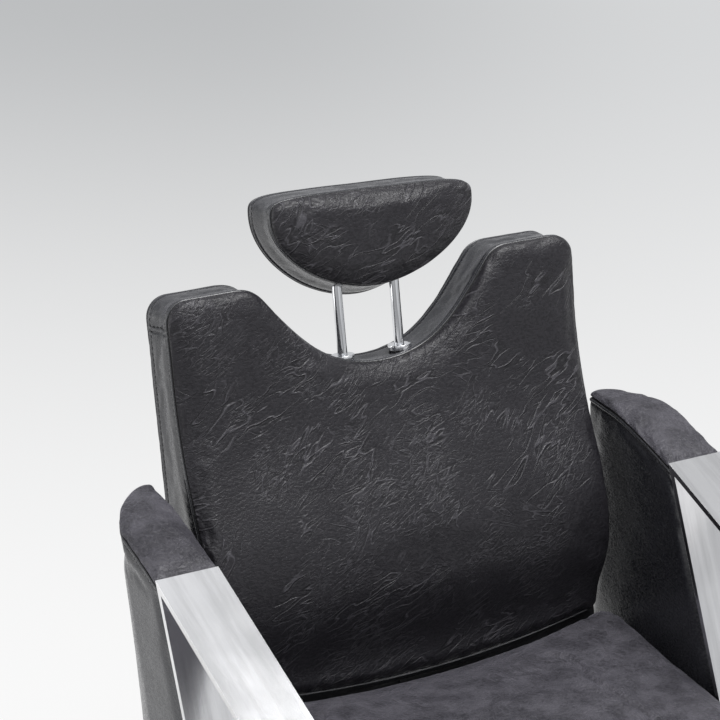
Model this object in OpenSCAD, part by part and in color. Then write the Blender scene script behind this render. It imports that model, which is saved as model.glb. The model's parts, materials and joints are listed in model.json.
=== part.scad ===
// Reclining hairdressing chair: padded back with a neck notch, sliding headrest, padded arms in
// polished flat-bar loops, and a hydraulic column on a round base.
// Millimetres, +Z up, the sitter faces -Y, origin on the floor under the middle of the column.

/* [Seat] */
// Height of the seat top at its rear edge, above the floor, with the column down
seat_height = 490; // [480:5:560]
// Clear width between the two arms
seat_clear_width = 552; // [520:2:600]
// Gap between the seat cushion and each arm
seat_side_gap = 3; // [1:1:8]
// Front edge of the seat cushion, ahead of the column
seat_front = 245; // [220:5:270]
// Rear edge of the seat cushion, behind the column
seat_rear = 222; // [210:2:240]
// Thickness of the seat cushion
seat_cushion_height = 100; // [80:2:110]
// How far the seat cushion swells above its rear edge
seat_crown = 9; // [0:1:16]
// Thickness of the plywood seat board
seat_board_thickness = 12; // [8:1:18]
// How far the seat's rear edge is dished below the sagging bottom edge of the backrest
seat_dish_spare = 8; // [6:1:14]

/* [Back] */
// Width of the backrest
back_width = 500; // [460:2:510]
// Height from the bottom edge of the backrest to the bottom of its neck notch
back_rise = 345; // [320:5:400]
// Sag of the backrest's bottom edge in the middle
back_sag = 22; // [0:1:24]
// Height of the shoulders above the bottom of the notch
shoulder_rise = 103; // [70:1:120]
// Half width of the notch where the shoulders begin
notch_half_width = 150; // [135:1:165]
// Thickness of the backrest without its lumbar swell
back_thickness = 67; // [60:1:80]
// How far the lumbar swell stands ahead of the front face
lumbar_swell = 39; // [10:1:45]
// Lean of the backrest from upright at rest
back_lean = 13.7; // [8:0.1:18]
// Radius of the shoulder corners
shoulder_radius = 24; // [12:1:32]
// How far the backrest reclines from rest, in degrees
recline_angle = 35; // [20:1:38]

/* [Headrest] */
// Width of the head pad
head_width = 245; // [220:1:270]
// Height of the head pad above its widest line
head_rise = 23; // [16:1:30]
// Depth of the head pad's front face below its widest line
head_drop = 80; // [70:1:90]
// How much deeper the head pad's rear face hangs than its front face
head_flare = 21; // [0:1:26]
// Thickness of the head pad
head_thickness = 67; // [56:1:76]
// Height of the pad's widest line above the bottom of the notch
head_height = 160; // [150:1:180]
// Roll of the pad about its middle, in degrees
head_roll = 2; // [0:0.1:3]
// Diameter of the headrest rods
head_rod_diameter = 11; // [8:0.5:14]
// Distance between the axes of the two headrest rods
head_rod_spacing = 71; // [60:1:84]
// Travel of the headrest above its rest height
head_travel_up = 75; // [40:5:90]
// Travel of the headrest below its rest height
head_travel_down = 40; // [10:5:45]

/* [Arms] */
// Width of each arm
arm_width = 70; // [56:1:84]
// Height of the arm pad's top above the seat
arm_rise = 236; // [220:1:250]
// Rear end of the arm pad's top, behind the column
arm_rear = 300; // [290:1:310]
// Length of the arm pad's top
arm_pad_length = 161; // [150:1:175]
// Lean of the arm pad's inner rear edge from upright, in degrees
arm_rear_lean = 6; // [4:0.5:12]
// Lean of the arm pad's outer rear corner from upright, in degrees
arm_corner_lean = 20.5; // [16:0.5:22]
// Lean of the joint between pad and metal from upright, in degrees
arm_joint_lean = 27.5; // [22:0.5:29]
// Drop of the pad's top towards the metal
arm_top_drop = 21; // [12:1:24]
// Width of the pad's rounded outer rear corner, seen from above
arm_corner_width = 65; // [50:1:67]
// Length of the pad's rounded outer rear corner at the pad's top
arm_corner_length = 78; // [60:1:84]
// Front end of the metal arm, ahead of the column
arm_front = 190; // [170:1:215]
// Slope of the metal arm's top down to the front, in degrees
arm_slope = 16.5; // [10:0.5:18]
// Lean of the metal arm's front from upright, in degrees
arm_front_lean = 10; // [6:0.5:14]
// Thickness of the flat bar of the metal arm
arm_bar_thickness = 7; // [5:0.5:8]

/* [Base] */
// Diameter of the round base
base_diameter = 600; // [540:5:680]
// Height of the base's upright rim
base_rim_height = 13; // [11:1:20]
// Rise of the base cover from its rim to its collar
base_dome_rise = 20; // [14:1:30]
// Thickness of the weight plate in the base
base_weight_thickness = 8; // [5:0.5:9]
// Outer diameter of the polished column shroud
shroud_diameter = 104; // [100:1:116]
// Outer diameter of the pump cylinder
cylinder_diameter = 70; // [68:1:76]
// Bore of the pump cylinder
cylinder_bore = 60; // [58:1:62]
// Diameter of the ram
ram_diameter = 50; // [46:1:52]
// Length of the guide bush in the pump cylinder, which leaves the rest of it to the lift's travel
guide_bush_length = 45; // [30:5:100]

/* [Footrest] */
// Height of the footrest bar's middle above the floor
footrest_height = 140; // [110:5:180]
// Distance of the footrest bar ahead of the column
footrest_reach = 430; // [390:5:470]
// Width of the footrest bar
footrest_width = 340; // [260:5:400]
// Diameter of the footrest bar
footrest_diameter = 28; // [22:1:34]

/* [Hidden] */
$fn = 48;

// Overrun of a cut past the face it opens
cut_overrun = 1;
// Radial clearance of a running fit
running_clearance = 0.05;
// Clearance between a soft piece and what lies beside it
soft_clearance = 0.3;
// Radial clearance of a bolt in its hole
bolt_clearance = 0.3;
// Share of a bolt's diameter by which its head stands out, and of its head's width
bolt_head_height_share = 0.6;
bolt_head_width_share = 1.8;

// Steel of the seat frame
rail_height = 30;
rail_width = 20;
rail_wall = 2;
rail_front_setback = 20;
frame_plate_thickness = 8;
seat_plate_half = 135;
cross_rail_depth = 30;
cross_rail_offset = 120;
arm_bracket_thickness = 8;
arm_sole_drop = 3;

// Levels, counted down from the seat top
cushion_z = seat_height - seat_cushion_height;
board_z = cushion_z - seat_board_thickness;
rail_z = board_z - rail_height;
plate_z = rail_z - frame_plate_thickness;
arm_z = rail_z - arm_sole_drop;
arm_inner_x = seat_clear_width / 2;
bracket_inner_x = arm_inner_x - arm_bracket_thickness;
rail_inner_x = bracket_inner_x - rail_width;

// Recline hinge
hinge_ear_thickness = 6;
hinge_ear_radius = 18;
hinge_seat_gap = 5;
hinge_below_seat = 50;
hinge_drop = 41.4;
hinge_depth = 44.8;
hinge_pin_diameter = 12;
hinge_bush_wall = 2;
hinge_y = seat_rear + hinge_ear_radius + hinge_seat_gap;
hinge_z = seat_height - hinge_below_seat;
ear_inner_x = rail_inner_x - hinge_ear_thickness;
bracket_plate_outer_x = ear_inner_x - soft_clearance;
bracket_plate_inner_x = bracket_plate_outer_x - hinge_ear_thickness;
back_bottom = -back_rise;
notch_sag = 7;
shoulder_top = shoulder_rise - notch_sag;

// Places the children in the backrest's own frame: x across, y into its depth, z up along its
// front face, with its origin in the middle of the notch.
module in_back() {
    translate([0, hinge_y, hinge_z])
        rotate([-back_lean, 0, 0])
            translate([0, -hinge_depth, back_rise + hinge_drop])
                children();
}

// Draws the children and their mirror image on the other side.
module both_sides() {
    children();
    mirror([1, 0, 0]) children();
}

// Cylinder along X from x0 to x1, at y and z.
module along_x(x0, x1, y, z, diameter) {
    translate([x0, y, z]) rotate([0, 90, 0]) cylinder(d = diameter, h = x1 - x0);
}

// Cylinder along Y from y0 to y1, at x and z.
module along_y(y0, y1, x, z, diameter) {
    translate([x, y0, z]) rotate([-90, 0, 0]) cylinder(d = diameter, h = y1 - y0);
}

// Round bar or ring standing on z0.
module upright(z0, z1, diameter) {
    translate([0, 0, z0]) cylinder(d = diameter, h = z1 - z0);
}

module ring_between(z0, z1, outer, inner) {
    difference() {
        upright(z0, z1, outer);
        upright(z0 - cut_overrun, z1 + cut_overrun, inner);
    }
}

// Box given by its two opposite corners.
module block(low, high) {
    translate(low) cube(high - low);
}

// Side profile, drawn as [y, z] points, extruded along X from x0 to x1.
module side_plate(x0, x1) {
    translate([x0, 0, 0]) rotate([90, 0, 90]) linear_extrude(x1 - x0) children();
}

// Hexagon-headed bolt pointing down from z, with its head standing on z.
module bolt_down(x, y, z, diameter, grip) {
    head = diameter * bolt_head_height_share;
    translate([x, y, z]) cylinder(d = diameter * bolt_head_width_share, h = head, $fn = 6);
    translate([x, y, z - grip]) cylinder(d = diameter, h = grip + head / 2);
}

// Corner of a polygon moved in by a distance along both its edges. Points run counter-clockwise.
function edge_normal(a, b) = let (d = b - a) [-d[1], d[0]] / norm(d);
function inset_corner(a, b, c, distance) =
    let (n1 = edge_normal(a, b), n2 = edge_normal(b, c), mid = n1 + n2)
    b + mid * (2 * distance / (mid * mid));
function inset_polygon(points, distance) =
    let (n = len(points))
    [for (i = [0:n - 1]) inset_corner(points[(i + n - 1) % n], points[i], points[(i + 1) % n], distance)];

// Point of a cubic curve at share t.
function curve_point(p, t) =
    p[0] * pow(1 - t, 3) + 3 * p[1] * t * pow(1 - t, 2) + 3 * p[2] * t * t * (1 - t) + p[3] * pow(t, 3);
function arc_points(centre, radius, from, to, steps) =
    [for (i = [0:steps]) let (a = from + (to - from) * i / steps) centre + radius * [cos(a), sin(a)]];
function mirrored(points) = [for (i = [len(points) - 2:-1:1]) [-points[i][0], points[i][1]]];
function blend_value(a, b, share) = a + (b - a) * share;

// Closed soft solid through rings of equal length, from a first point to a last point.
module ring_solid(first, rings, last) {
    n = len(rings[0]);
    count = len(rings);
    points = concat([first], [for (ring = rings) each ring], [last]);
    sides = [for (k = [0:count - 2], i = [0:n - 1])
        let (a = 1 + k * n + i, b = 1 + k * n + (i + 1) % n)
        each [[a, b, b + n], [a, b + n, a + n]]];
    first_cap = [for (i = [0:n - 1]) [0, 1 + (i + 1) % n, 1 + i]];
    last_cap = [for (i = [0:n - 1])
        let (start = 1 + (count - 1) * n)
        [start + i, start + (i + 1) % n, start + n]];
    polyhedron(points, concat(first_cap, sides, last_cap));
}

// Base

floor_pad_thickness = 5;
cover_wall = 2;
collar_gap = 3;
base_weight_z = floor_pad_thickness;
flange_z = base_weight_z + base_weight_thickness;
flange_diameter = 150;
flange_thickness = 8;
cylinder_bolt_diameter = 10;
cylinder_bolt_circle = 122;
cylinder_hole = cylinder_bolt_diameter + 2 * bolt_clearance;
cover_top_z = floor_pad_thickness + base_rim_height + base_dome_rise;
collar_outer = flange_diameter / 2 + cylinder_bolt_diameter;
cover_top_outer = collar_outer + collar_gap;

module cylinder_bolt_places() {
    for (turn = [45:90:315]) rotate([0, 0, turn]) translate([cylinder_bolt_circle / 2, 0, 0]) children();
}

// Rubber sheet that the chair stands on, glued under the weight plate and the cover's rim.
module floor_pad() {
    color([0.06, 0.06, 0.065]) upright(0, floor_pad_thickness, base_diameter - cover_wall);
}

module base_weight() {
    color([0.2, 0.2, 0.21]) difference() {
        upright(base_weight_z, flange_z, base_diameter - 2 * cover_wall - 2 * bolt_clearance);
        cylinder_bolt_places() upright(base_weight_z - cut_overrun, flange_z + cut_overrun, cylinder_hole);
    }
}

// Thin polished shell: an upright rim, a gently arched skirt and a flat top round the shroud.
module base_cover() {
    radius = base_diameter / 2;
    steps = 8;
    rim_top = floor_pad_thickness + base_rim_height;
    skirt = [for (i = [0:steps])
        let (t = i / steps)
        [blend_value(radius, cover_top_outer, t), rim_top + base_dome_rise * sin(90 * t)]];
    lining_z = rim_top - cover_wall;
    lining = [for (i = [steps:-1:0])
        let (t = i / steps)
        [blend_value(radius - cover_wall, cover_top_outer, t), lining_z + base_dome_rise * sin(90 * t)]];
    hole = shroud_diameter / 2 + running_clearance;
    color([0.8, 0.81, 0.82]) rotate_extrude($fn = 96) polygon(concat(
        [[radius, floor_pad_thickness]], skirt, [[hole, cover_top_z], [hole, cover_top_z - cover_wall]],
        lining, [[radius - cover_wall, floor_pad_thickness]]));
}

// Column

shroud_wall = 2;
gland_height = 12;
gland_flange = 6;
gland_gap = 13;
hub_height = 56;
hub_diameter = 90;
washer_thickness = 3;
hub_z = plate_z - hub_height;
washer_z = hub_z - washer_thickness;
shroud_top_z = washer_z - gland_gap - gland_flange;
cylinder_top_z = shroud_top_z - gland_height;
cylinder_floor_z = flange_z + flange_thickness;
ram_bore = ram_diameter + 2 * running_clearance;
piston_diameter = cylinder_bore - 2 * running_clearance;
piston_height = 20;
ram_floor_gap = 6;
ram_bottom_z = cylinder_floor_z + ram_floor_gap;
bush_bottom_z = cylinder_top_z - guide_bush_length;
spigot_diameter = 40;
spigot_top_gap = 4;
hub_roof = 8;
slot_half_width = 20.5;
slot_bottom_z = 54;
slot_top_z = 128;

module pump_cylinder() {
    color([0.25, 0.25, 0.26]) difference() {
        union() {
            upright(flange_z, cylinder_floor_z, flange_diameter);
            upright(flange_z, cylinder_top_z, cylinder_diameter);
        }
        upright(cylinder_floor_z, cylinder_top_z + cut_overrun, cylinder_bore);
        cylinder_bolt_places() upright(flange_z - cut_overrun, cylinder_floor_z + cut_overrun, cylinder_hole);
    }
}

module cylinder_bolts() {
    color([0.6, 0.6, 0.62]) cylinder_bolt_places()
        bolt_down(0, 0, cylinder_floor_z, cylinder_bolt_diameter, flange_thickness + base_weight_thickness);
}

module guide_bush() {
    color([0.72, 0.55, 0.3])
        ring_between(bush_bottom_z, cylinder_top_z, cylinder_bore, ram_bore);
}

module gland_ring() {
    color([0.8, 0.81, 0.82]) difference() {
        union() {
            upright(cylinder_top_z, shroud_top_z, cylinder_diameter);
            upright(shroud_top_z, shroud_top_z + gland_flange, shroud_diameter);
        }
        upright(cylinder_top_z - cut_overrun, shroud_top_z + gland_flange + cut_overrun, ram_bore);
    }
}

// Polished tube round the pump, slotted at the rear for the pedal.
module column_shroud() {
    color([0.82, 0.83, 0.84]) difference() {
        ring_between(cylinder_floor_z, shroud_top_z, shroud_diameter, shroud_diameter - 2 * shroud_wall);
        block([-slot_half_width, 0, slot_bottom_z], [slot_half_width, shroud_diameter, slot_top_z]);
    }
}

module ram_rod() {
    color([0.85, 0.86, 0.87]) union() {
        upright(ram_bottom_z + piston_height, washer_z, ram_diameter);
        upright(ram_bottom_z, plate_z - hub_roof - spigot_top_gap, spigot_diameter);
    }
}

module ram_piston() {
    color([0.3, 0.3, 0.31])
        ring_between(ram_bottom_z, ram_bottom_z + piston_height, piston_diameter, spigot_diameter);
}

module thrust_washer() {
    color([0.72, 0.55, 0.3]) ring_between(washer_z, hub_z, hub_diameter, spigot_diameter);
}

// Foot pump

pump_block_half = 14;
pump_block_z = 122;
pump_block_height = 54;
plunger_diameter = 9;
plunger_length = 44;
plunger_bore_roof = 3;
pump_stroke = 11.2;
pedal_pivot_y = 70;
pedal_pivot_z = 96;
pedal_pin_diameter = 10;
pedal_ear_radius = 12;
pedal_ear_thickness = 6;
pedal_arm_half = 12;
pedal_arm_height = 18;
pedal_reach = 335;
pedal_rise = 34;
pedal_pad_length = 70;
pedal_pad_half_width = 40;
pedal_pad_thickness = 8;
pedal_pad_ribs = 5;
pedal_groove_share = 0.75;
pedal_ear_inner = pedal_arm_half + soft_clearance;
pedal_ear_outer = pedal_ear_inner + pedal_ear_thickness;
pedal_pin_overhang = 2;
shroud_inner_radius = shroud_diameter / 2 - shroud_wall;
plunger_y = (cylinder_diameter / 2 + shroud_inner_radius) / 2;
plunger_z = pedal_pivot_z + pedal_arm_height / 2 + soft_clearance;
plunger_top_z = plunger_z + plunger_length;

// The block is held by the rear of the cylinder, above the pedal's nose.
module pump_block() {
    top_z = pump_block_z + pump_block_height;
    bore_top_z = plunger_top_z + pump_stroke + plunger_bore_roof;
    color([0.25, 0.25, 0.26]) difference() {
        intersection() {
            block([-pump_block_half, 0, pump_block_z], [pump_block_half, shroud_diameter, top_z]);
            upright(pump_block_z, top_z, 2 * (shroud_inner_radius - soft_clearance));
        }
        upright(pump_block_z - cut_overrun, top_z + cut_overrun, cylinder_diameter);
        translate([0, plunger_y, 0])
            upright(pump_block_z - cut_overrun, bore_top_z, plunger_diameter + 2 * running_clearance);
    }
}

module pump_plunger() {
    color([0.75, 0.76, 0.77]) translate([0, plunger_y, 0])
        upright(plunger_z, plunger_top_z, plunger_diameter);
}

// Two ears that stand out of the cylinder through the shroud's slot.
module pedal_bracket() {
    color([0.25, 0.25, 0.26]) difference() {
        both_sides() side_plate(pedal_ear_inner, pedal_ear_outer) {
            translate([pedal_pivot_y, pedal_pivot_z]) circle(r = pedal_ear_radius);
            translate([0, pedal_pivot_z - pedal_ear_radius]) square([pedal_pivot_y, 2 * pedal_ear_radius]);
        }
        upright(0, pump_block_z, cylinder_diameter);
        along_x(-shroud_diameter, shroud_diameter, pedal_pivot_y, pedal_pivot_z, pedal_pin_diameter);
    }
}

module pedal_pin() {
    end_x = pedal_ear_outer + pedal_pin_overhang;
    color([0.75, 0.76, 0.77]) along_x(-end_x, end_x, pedal_pivot_y, pedal_pivot_z, pedal_pin_diameter);
}

// Lever bar with a nose under the plunger and a foot plate at its rear end, as one welded piece.
module pedal_arm() {
    half = pedal_arm_height / 2;
    nose_y = cylinder_diameter / 2 + soft_clearance + pedal_pin_overhang;
    foot_y = pedal_reach - pedal_pad_length;
    color([0.82, 0.83, 0.84]) difference() {
        union() {
            side_plate(-pedal_arm_half, pedal_arm_half) polygon([
                [nose_y, pedal_pivot_z - half], [pedal_pivot_y + pedal_ear_radius, pedal_pivot_z - half],
                [foot_y, pedal_pivot_z + pedal_rise - half], [pedal_reach, pedal_pivot_z + pedal_rise - half],
                [pedal_reach, pedal_pivot_z + pedal_rise], [foot_y, pedal_pivot_z + pedal_rise],
                [pedal_pivot_y + pedal_ear_radius, pedal_pivot_z + half], [nose_y, pedal_pivot_z + half]]);
            block([-pedal_pad_half_width, foot_y, pedal_pivot_z + pedal_rise - half / 2],
                [pedal_pad_half_width, pedal_reach, pedal_pivot_z + pedal_rise]);
        }
        along_x(-shroud_diameter, shroud_diameter, pedal_pivot_y, pedal_pivot_z,
            pedal_pin_diameter + 2 * running_clearance);
    }
}

module pedal_pad() {
    z = pedal_pivot_z + pedal_rise;
    y0 = pedal_reach - pedal_pad_length;
    groove = pedal_pad_length / (2 * pedal_pad_ribs + 1);
    groove_height = pedal_pad_thickness * pedal_groove_share;
    color([0.05, 0.05, 0.055]) difference() {
        block([-pedal_pad_half_width, y0, z], [pedal_pad_half_width, pedal_reach, z + pedal_pad_thickness]);
        for (i = [1:pedal_pad_ribs])
            translate([-shroud_diameter, y0 + (2 * i - 1) * groove, z + groove_height])
                cube([2 * shroud_diameter, groove, pedal_pad_thickness]);
    }
}

// Seat frame

plate_bolt_diameter = 10;
plate_bolt_x = 100;
plate_hole = plate_bolt_diameter + 2 * bolt_clearance;
rail_front_y = -seat_front + rail_front_setback;
rail_rear_y = hinge_y + hinge_ear_radius;
rail_top_z = rail_z + rail_height;
arm_bolt_diameter = 8;
arm_bolt_z = rail_z + rail_height / 2;
arm_bolt_pitch = 45;
arm_bolt_y = [for (i = [0:2]) i * arm_bolt_pitch];
loop_screw_diameter = 6;

module swivel_hub() {
    color([0.25, 0.25, 0.26]) difference() {
        upright(hub_z, plate_z, hub_diameter);
        upright(hub_z - cut_overrun, plate_z - hub_roof, spigot_diameter + 2 * running_clearance);
    }
}

module plate_bolt_places() {
    for (x = [-plate_bolt_x, plate_bolt_x], y = [-cross_rail_offset, cross_rail_offset])
        translate([x, y, 0]) children();
}

module seat_plate() {
    color([0.16, 0.16, 0.17]) difference() {
        block([-seat_plate_half, -seat_plate_half, plate_z], [seat_plate_half, seat_plate_half, rail_z]);
        plate_bolt_places() upright(plate_z - cut_overrun, rail_z + cut_overrun, plate_hole);
    }
}

// Bolts up through the plate and the cross rails, with their heads under the plate.
module plate_bolts() {
    color([0.6, 0.6, 0.62]) plate_bolt_places() mirror([0, 0, 1])
        bolt_down(0, 0, -plate_z, plate_bolt_diameter, frame_plate_thickness + rail_height);
}

// Hollow tube along Y between two X faces, or along X when turned.
module rail_tube(low, high, wall) {
    difference() {
        block(low, high);
        block(low + wall, high - wall);
    }
}

module side_rails() {
    color([0.16, 0.16, 0.17]) difference() {
        both_sides() rail_tube(
            [rail_inner_x, rail_front_y, rail_z], [bracket_inner_x, rail_rear_y, rail_top_z],
            [rail_wall, -cut_overrun, rail_wall]);
        arm_bolt_holes();
    }
}

module cross_rails() {
    half = cross_rail_depth / 2;
    color([0.16, 0.16, 0.17]) difference() {
        for (y = [-cross_rail_offset, cross_rail_offset])
            rail_tube(
                [-rail_inner_x, y - half, rail_z], [rail_inner_x, y + half, rail_top_z],
                [-cut_overrun, rail_wall, rail_wall]);
        plate_bolt_places() upright(rail_z - cut_overrun, rail_top_z + cut_overrun, plate_hole);
    }
}

module arm_bolt_holes() {
    end_x = arm_inner_x + arm_width;
    for (y = arm_bolt_y) along_x(-end_x, end_x, y, arm_bolt_z, arm_bolt_diameter + 2 * bolt_clearance);
}

board_setback = 12;

module seat_board() {
    half = arm_inner_x - seat_side_gap - board_setback;
    color([0.72, 0.58, 0.4])
        block([-half, -seat_front + board_setback, board_z], [half, seat_rear - board_setback, cushion_z]);
}

// Seat cushion: a crowned pad with softly rounded edges, flat underneath where it lies on the board.
seat_corner_radius = 34;
seat_edge_radius = 24;
seat_pull_in = 4;
seat_crown_reach_share = 0.86;
seat_ring_shares = [0.25, 0.5, 0.75, 1];
seat_dish_run = 160;
seat_dish_power = 1.2;

function seat_outline(inset) =
    let (
        half = arm_inner_x - seat_side_gap - inset,
        front = -seat_front + inset,
        rear = seat_rear - inset,
        r = max(seat_corner_radius - inset, 2 * seat_pull_in),
        corner = 5,
        run = 7
    )
    concat(
        [for (i = [0:run - 1]) [blend_value(-half + r, half - r, i / run), front]],
        arc_points([half - r, front + r], r, -90, 0, corner),
        [for (i = [1:run - 1]) [half, blend_value(front + r, rear - r, i / run)]],
        arc_points([half - r, rear - r], r, 0, 90, corner),
        [for (i = [1:run - 1]) [blend_value(half - r, -half + r, i / run), rear]],
        arc_points([-half + r, rear - r], r, 90, 180, corner),
        [for (i = [1:run - 1]) [-half, blend_value(rear - r, front + r, i / run)]],
        arc_points([-half + r, front + r], r, 180, 270 - 90 / corner, corner - 1));
// Height over a point: a crown, zero at the sides and towards the rear edge, less the rear dish.
function seat_swell(x, y) =
    let (
        across = min(1, abs(x) / arm_inner_x),
        middle = (seat_rear - seat_front) / 2,
        reach = (seat_rear + seat_front) / 2,
        along = min(1, abs(y - middle) / (reach * seat_crown_reach_share)),
        behind = max(0, 1 - (seat_rear - y) / seat_dish_run)
    )
    (1 - pow(across, 2)) * (seat_crown * (1 - pow(along, 2))
        - (back_sag + seat_dish_spare) * pow(behind, seat_dish_power));
function seat_ring(inset, drop) =
    let (share = 1 - drop / seat_cushion_height)
    [for (p = seat_outline(inset)) [p[0], p[1], seat_height - drop + seat_swell(p[0], p[1]) * share]];
function seat_scaled_ring(share) =
    let (middle = [0, (seat_rear - seat_front) / 2])
    [for (p = seat_outline(seat_edge_radius))
        let (q = middle + (p - middle) * share)
        [q[0], q[1], seat_height + seat_swell(q[0], q[1])]];

module seat_cushion() {
    r = seat_edge_radius;
    side_drop = seat_cushion_height - r;
    rings = concat(
        [for (share = seat_ring_shares) seat_scaled_ring(share)],
        [for (a = [30, 60, 90]) seat_ring(r * (1 - sin(a)), r * (1 - cos(a)))],
        [seat_ring(seat_pull_in, r + side_drop / 2), seat_ring(0, seat_cushion_height - r / 3)],
        [[for (p = seat_outline(seat_pull_in)) [p[0], p[1], cushion_z]]]);
    middle_y = (seat_rear - seat_front) / 2;
    color([0.13, 0.13, 0.145])
        ring_solid([0, middle_y, seat_height + seat_swell(0, middle_y)], rings, [0, middle_y, cushion_z]);
}

// Arms

arm_top_z = seat_height + arm_rise;
joint_top_z = arm_top_z - arm_top_drop;
joint_top_y = arm_rear - arm_pad_length;
sole_y0 = joint_top_y - (joint_top_z - arm_z) * tan(arm_joint_lean);
front_top_z = joint_top_z - (joint_top_y + arm_front) * tan(arm_slope);
front_bottom_y = -arm_front + (front_top_z - arm_z) * tan(arm_front_lean);
arm_profile = [
    [joint_top_y, joint_top_z], [-arm_front, front_top_z], [front_bottom_y, arm_z], [sole_y0, arm_z]
];

// Closed loop of polished flat bar, one bar thick all round.
module arm_loop() {
    color([0.83, 0.84, 0.85]) difference() {
        side_plate(arm_inner_x, arm_inner_x + arm_width) difference() {
            polygon(arm_profile);
            polygon(inset_polygon(arm_profile, arm_bar_thickness));
        }
        loop_screw_holes();
    }
}

module arm_frame_right() { arm_loop(); }
module arm_frame_left() { mirror([1, 0, 0]) arm_loop(); }

// Padded rear half of an arm: the pad follows the metal's lean, its outer rear corner is a long
// rounded slant in plan that grows towards the sole, and its top falls towards the metal.
pad_edge_radius = 7;
pad_top_flat = 50;
pad_pull_in = 2;
pad_crown = 3;
pad_fall_power = 1.4;
pad_top_shares = [0.3, 0.6, 0.85, 1];
pad_upper_share = 0.86;
pad_middle_shares = [0.6, 0.3];
pad_lower_share = 0.05;
pad_corner_power = 1.45;
pad_corner_width_share = 0.93;
pad_core_inset = 30;
pad_core_corner_share = 0.52;
pad_core_thickness = 18;
joint_gap = soft_clearance / cos(arm_joint_lean);

function pad_front_y(z) = joint_top_y + joint_gap - (joint_top_z - z) * tan(arm_joint_lean);
function pad_rear_y(z) = arm_rear - (arm_top_z - z) * tan(arm_rear_lean);
function pad_corner_length(z) =
    arm_corner_length + (arm_top_z - z) * (tan(arm_corner_lean) - tan(arm_rear_lean));
function pad_top_z(y) =
    let (
        start = arm_rear - pad_top_flat,
        run = max(0, (start - y) / (start - pad_front_y(arm_top_z)))
    )
    arm_top_z - arm_top_drop * pow(min(1, run), pad_fall_power);
// A point of a level plan brought to its own height z along the slopes of the pad's two ends.
function pad_point(p, plan_z, z) =
    let (
        front = pad_front_y(plan_z),
        rear = pad_rear_y(plan_z),
        share = (p[1] - front) / (rear - front)
    )
    [p[0], p[1] + blend_value(pad_front_y(z) - front, pad_rear_y(z) - rear, share), z];
// Plan outline at a height share between sole and top, moved in by an inset.
function pad_plan(z, inset) =
    let (
        x0 = arm_inner_x + inset,
        x1 = arm_inner_x + arm_width - inset,
        y0 = pad_front_y(z) + inset,
        y1 = pad_rear_y(z) - inset,
        wide = min(arm_corner_width - inset, (x1 - x0) * pad_corner_width_share),
        long = pad_corner_length(z) - inset,
        power = 2 / pad_corner_power
    )
    concat(
        [for (i = [0:3]) [blend_value(x0, x1, i / 4), y0]],
        [for (i = [0:5]) [x1, blend_value(y0, y1 - long, i / 6)]],
        [for (i = [0:9])
            let (a = 90 * i / 9)
            [x1 - wide + wide * pow(cos(a), power), y1 - long + long * pow(sin(a), power)]],
        [for (i = [0:9]) [x0, blend_value(y1, y0, i / 10)]]);
// Height at a share of the pad's rise, where the level plan has its top at y.
function pad_level(y, share) = arm_z + (pad_top_z(y) - arm_z) * share;
function pad_side_ring(share, inset) =
    let (plan_z = blend_value(arm_z, arm_top_z, share))
    [for (i = [0:len(pad_plan(plan_z, inset)) - 1])
        let (
            p = pad_plan(plan_z, inset)[i],
            over = pad_plan(arm_top_z, inset)[i]
        )
        pad_point(p, plan_z, pad_level(over[1], share))];
function pad_top_ring(inset, drop, scale_share) =
    let (middle = [arm_inner_x + arm_width / 2, arm_rear - arm_pad_length / 2])
    [for (p = pad_plan(arm_top_z, inset))
        let (q = middle + (p - middle) * scale_share)
        pad_point(q, arm_top_z, pad_top_z(q[1]) - drop + pad_crown * (1 - scale_share))];

function pad_core_rear_y(z) = pad_rear_y(z) - pad_corner_length(z) * pad_core_corner_share;

module arm_core_shape() {
    top = arm_top_z - pad_core_inset;
    offset_y = pad_core_inset / 2;
    middle_x = arm_inner_x + arm_width / 2;
    half = pad_core_thickness / 2;
    side_plate(middle_x - half, middle_x + half)
        polygon([
            [pad_front_y(arm_z) + offset_y, arm_z], [pad_core_rear_y(arm_z), arm_z],
            [pad_core_rear_y(top), top], [pad_front_y(top) + offset_y, top]]);
}

module arm_pad() {
    r = pad_edge_radius;
    rings = concat(
        [for (share = pad_top_shares) pad_top_ring(r, 0, share)],
        [pad_top_ring(r * (1 - sin(45)), r * (1 - cos(45)), 1), pad_top_ring(0, r, 1)],
        [pad_side_ring(pad_upper_share, 0)],
        [for (share = pad_middle_shares) pad_side_ring(share, pad_pull_in)],
        [pad_side_ring(pad_lower_share, 0), pad_side_ring(0, pad_pull_in)]);
    top_y = arm_rear - arm_pad_length / 2;
    bottom_y = (pad_front_y(arm_z) + pad_rear_y(arm_z)) / 2;
    middle_x = arm_inner_x + arm_width / 2;
    color([0.15, 0.15, 0.17]) difference() {
        ring_solid([middle_x, top_y, pad_top_z(top_y) + pad_crown], rings, [middle_x, bottom_y, arm_z]);
        arm_core_shape();
        arm_bolt_holes();
    }
}

module arm_pad_right() { arm_pad(); }
module arm_pad_left() { mirror([1, 0, 0]) arm_pad(); }

module arm_cores() {
    color([0.72, 0.58, 0.4]) both_sides() difference() {
        arm_core_shape();
        arm_bolt_holes();
    }
}

// Steel side plate that joins an arm to the rail, with a foot that clamps the metal loop's sole.
bracket_end_gap = 30;
foot_side_gap = 16;
foot_depth = 34;
foot_length = 62;
foot_thickness = 6;
foot_front_y = front_bottom_y + foot_side_gap;
arm_bracket_rear_y = pad_core_rear_y(arm_z) - bracket_end_gap;
loop_screw_y = [for (share = [0.25, 0.75]) foot_front_y + foot_length * share];

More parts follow.
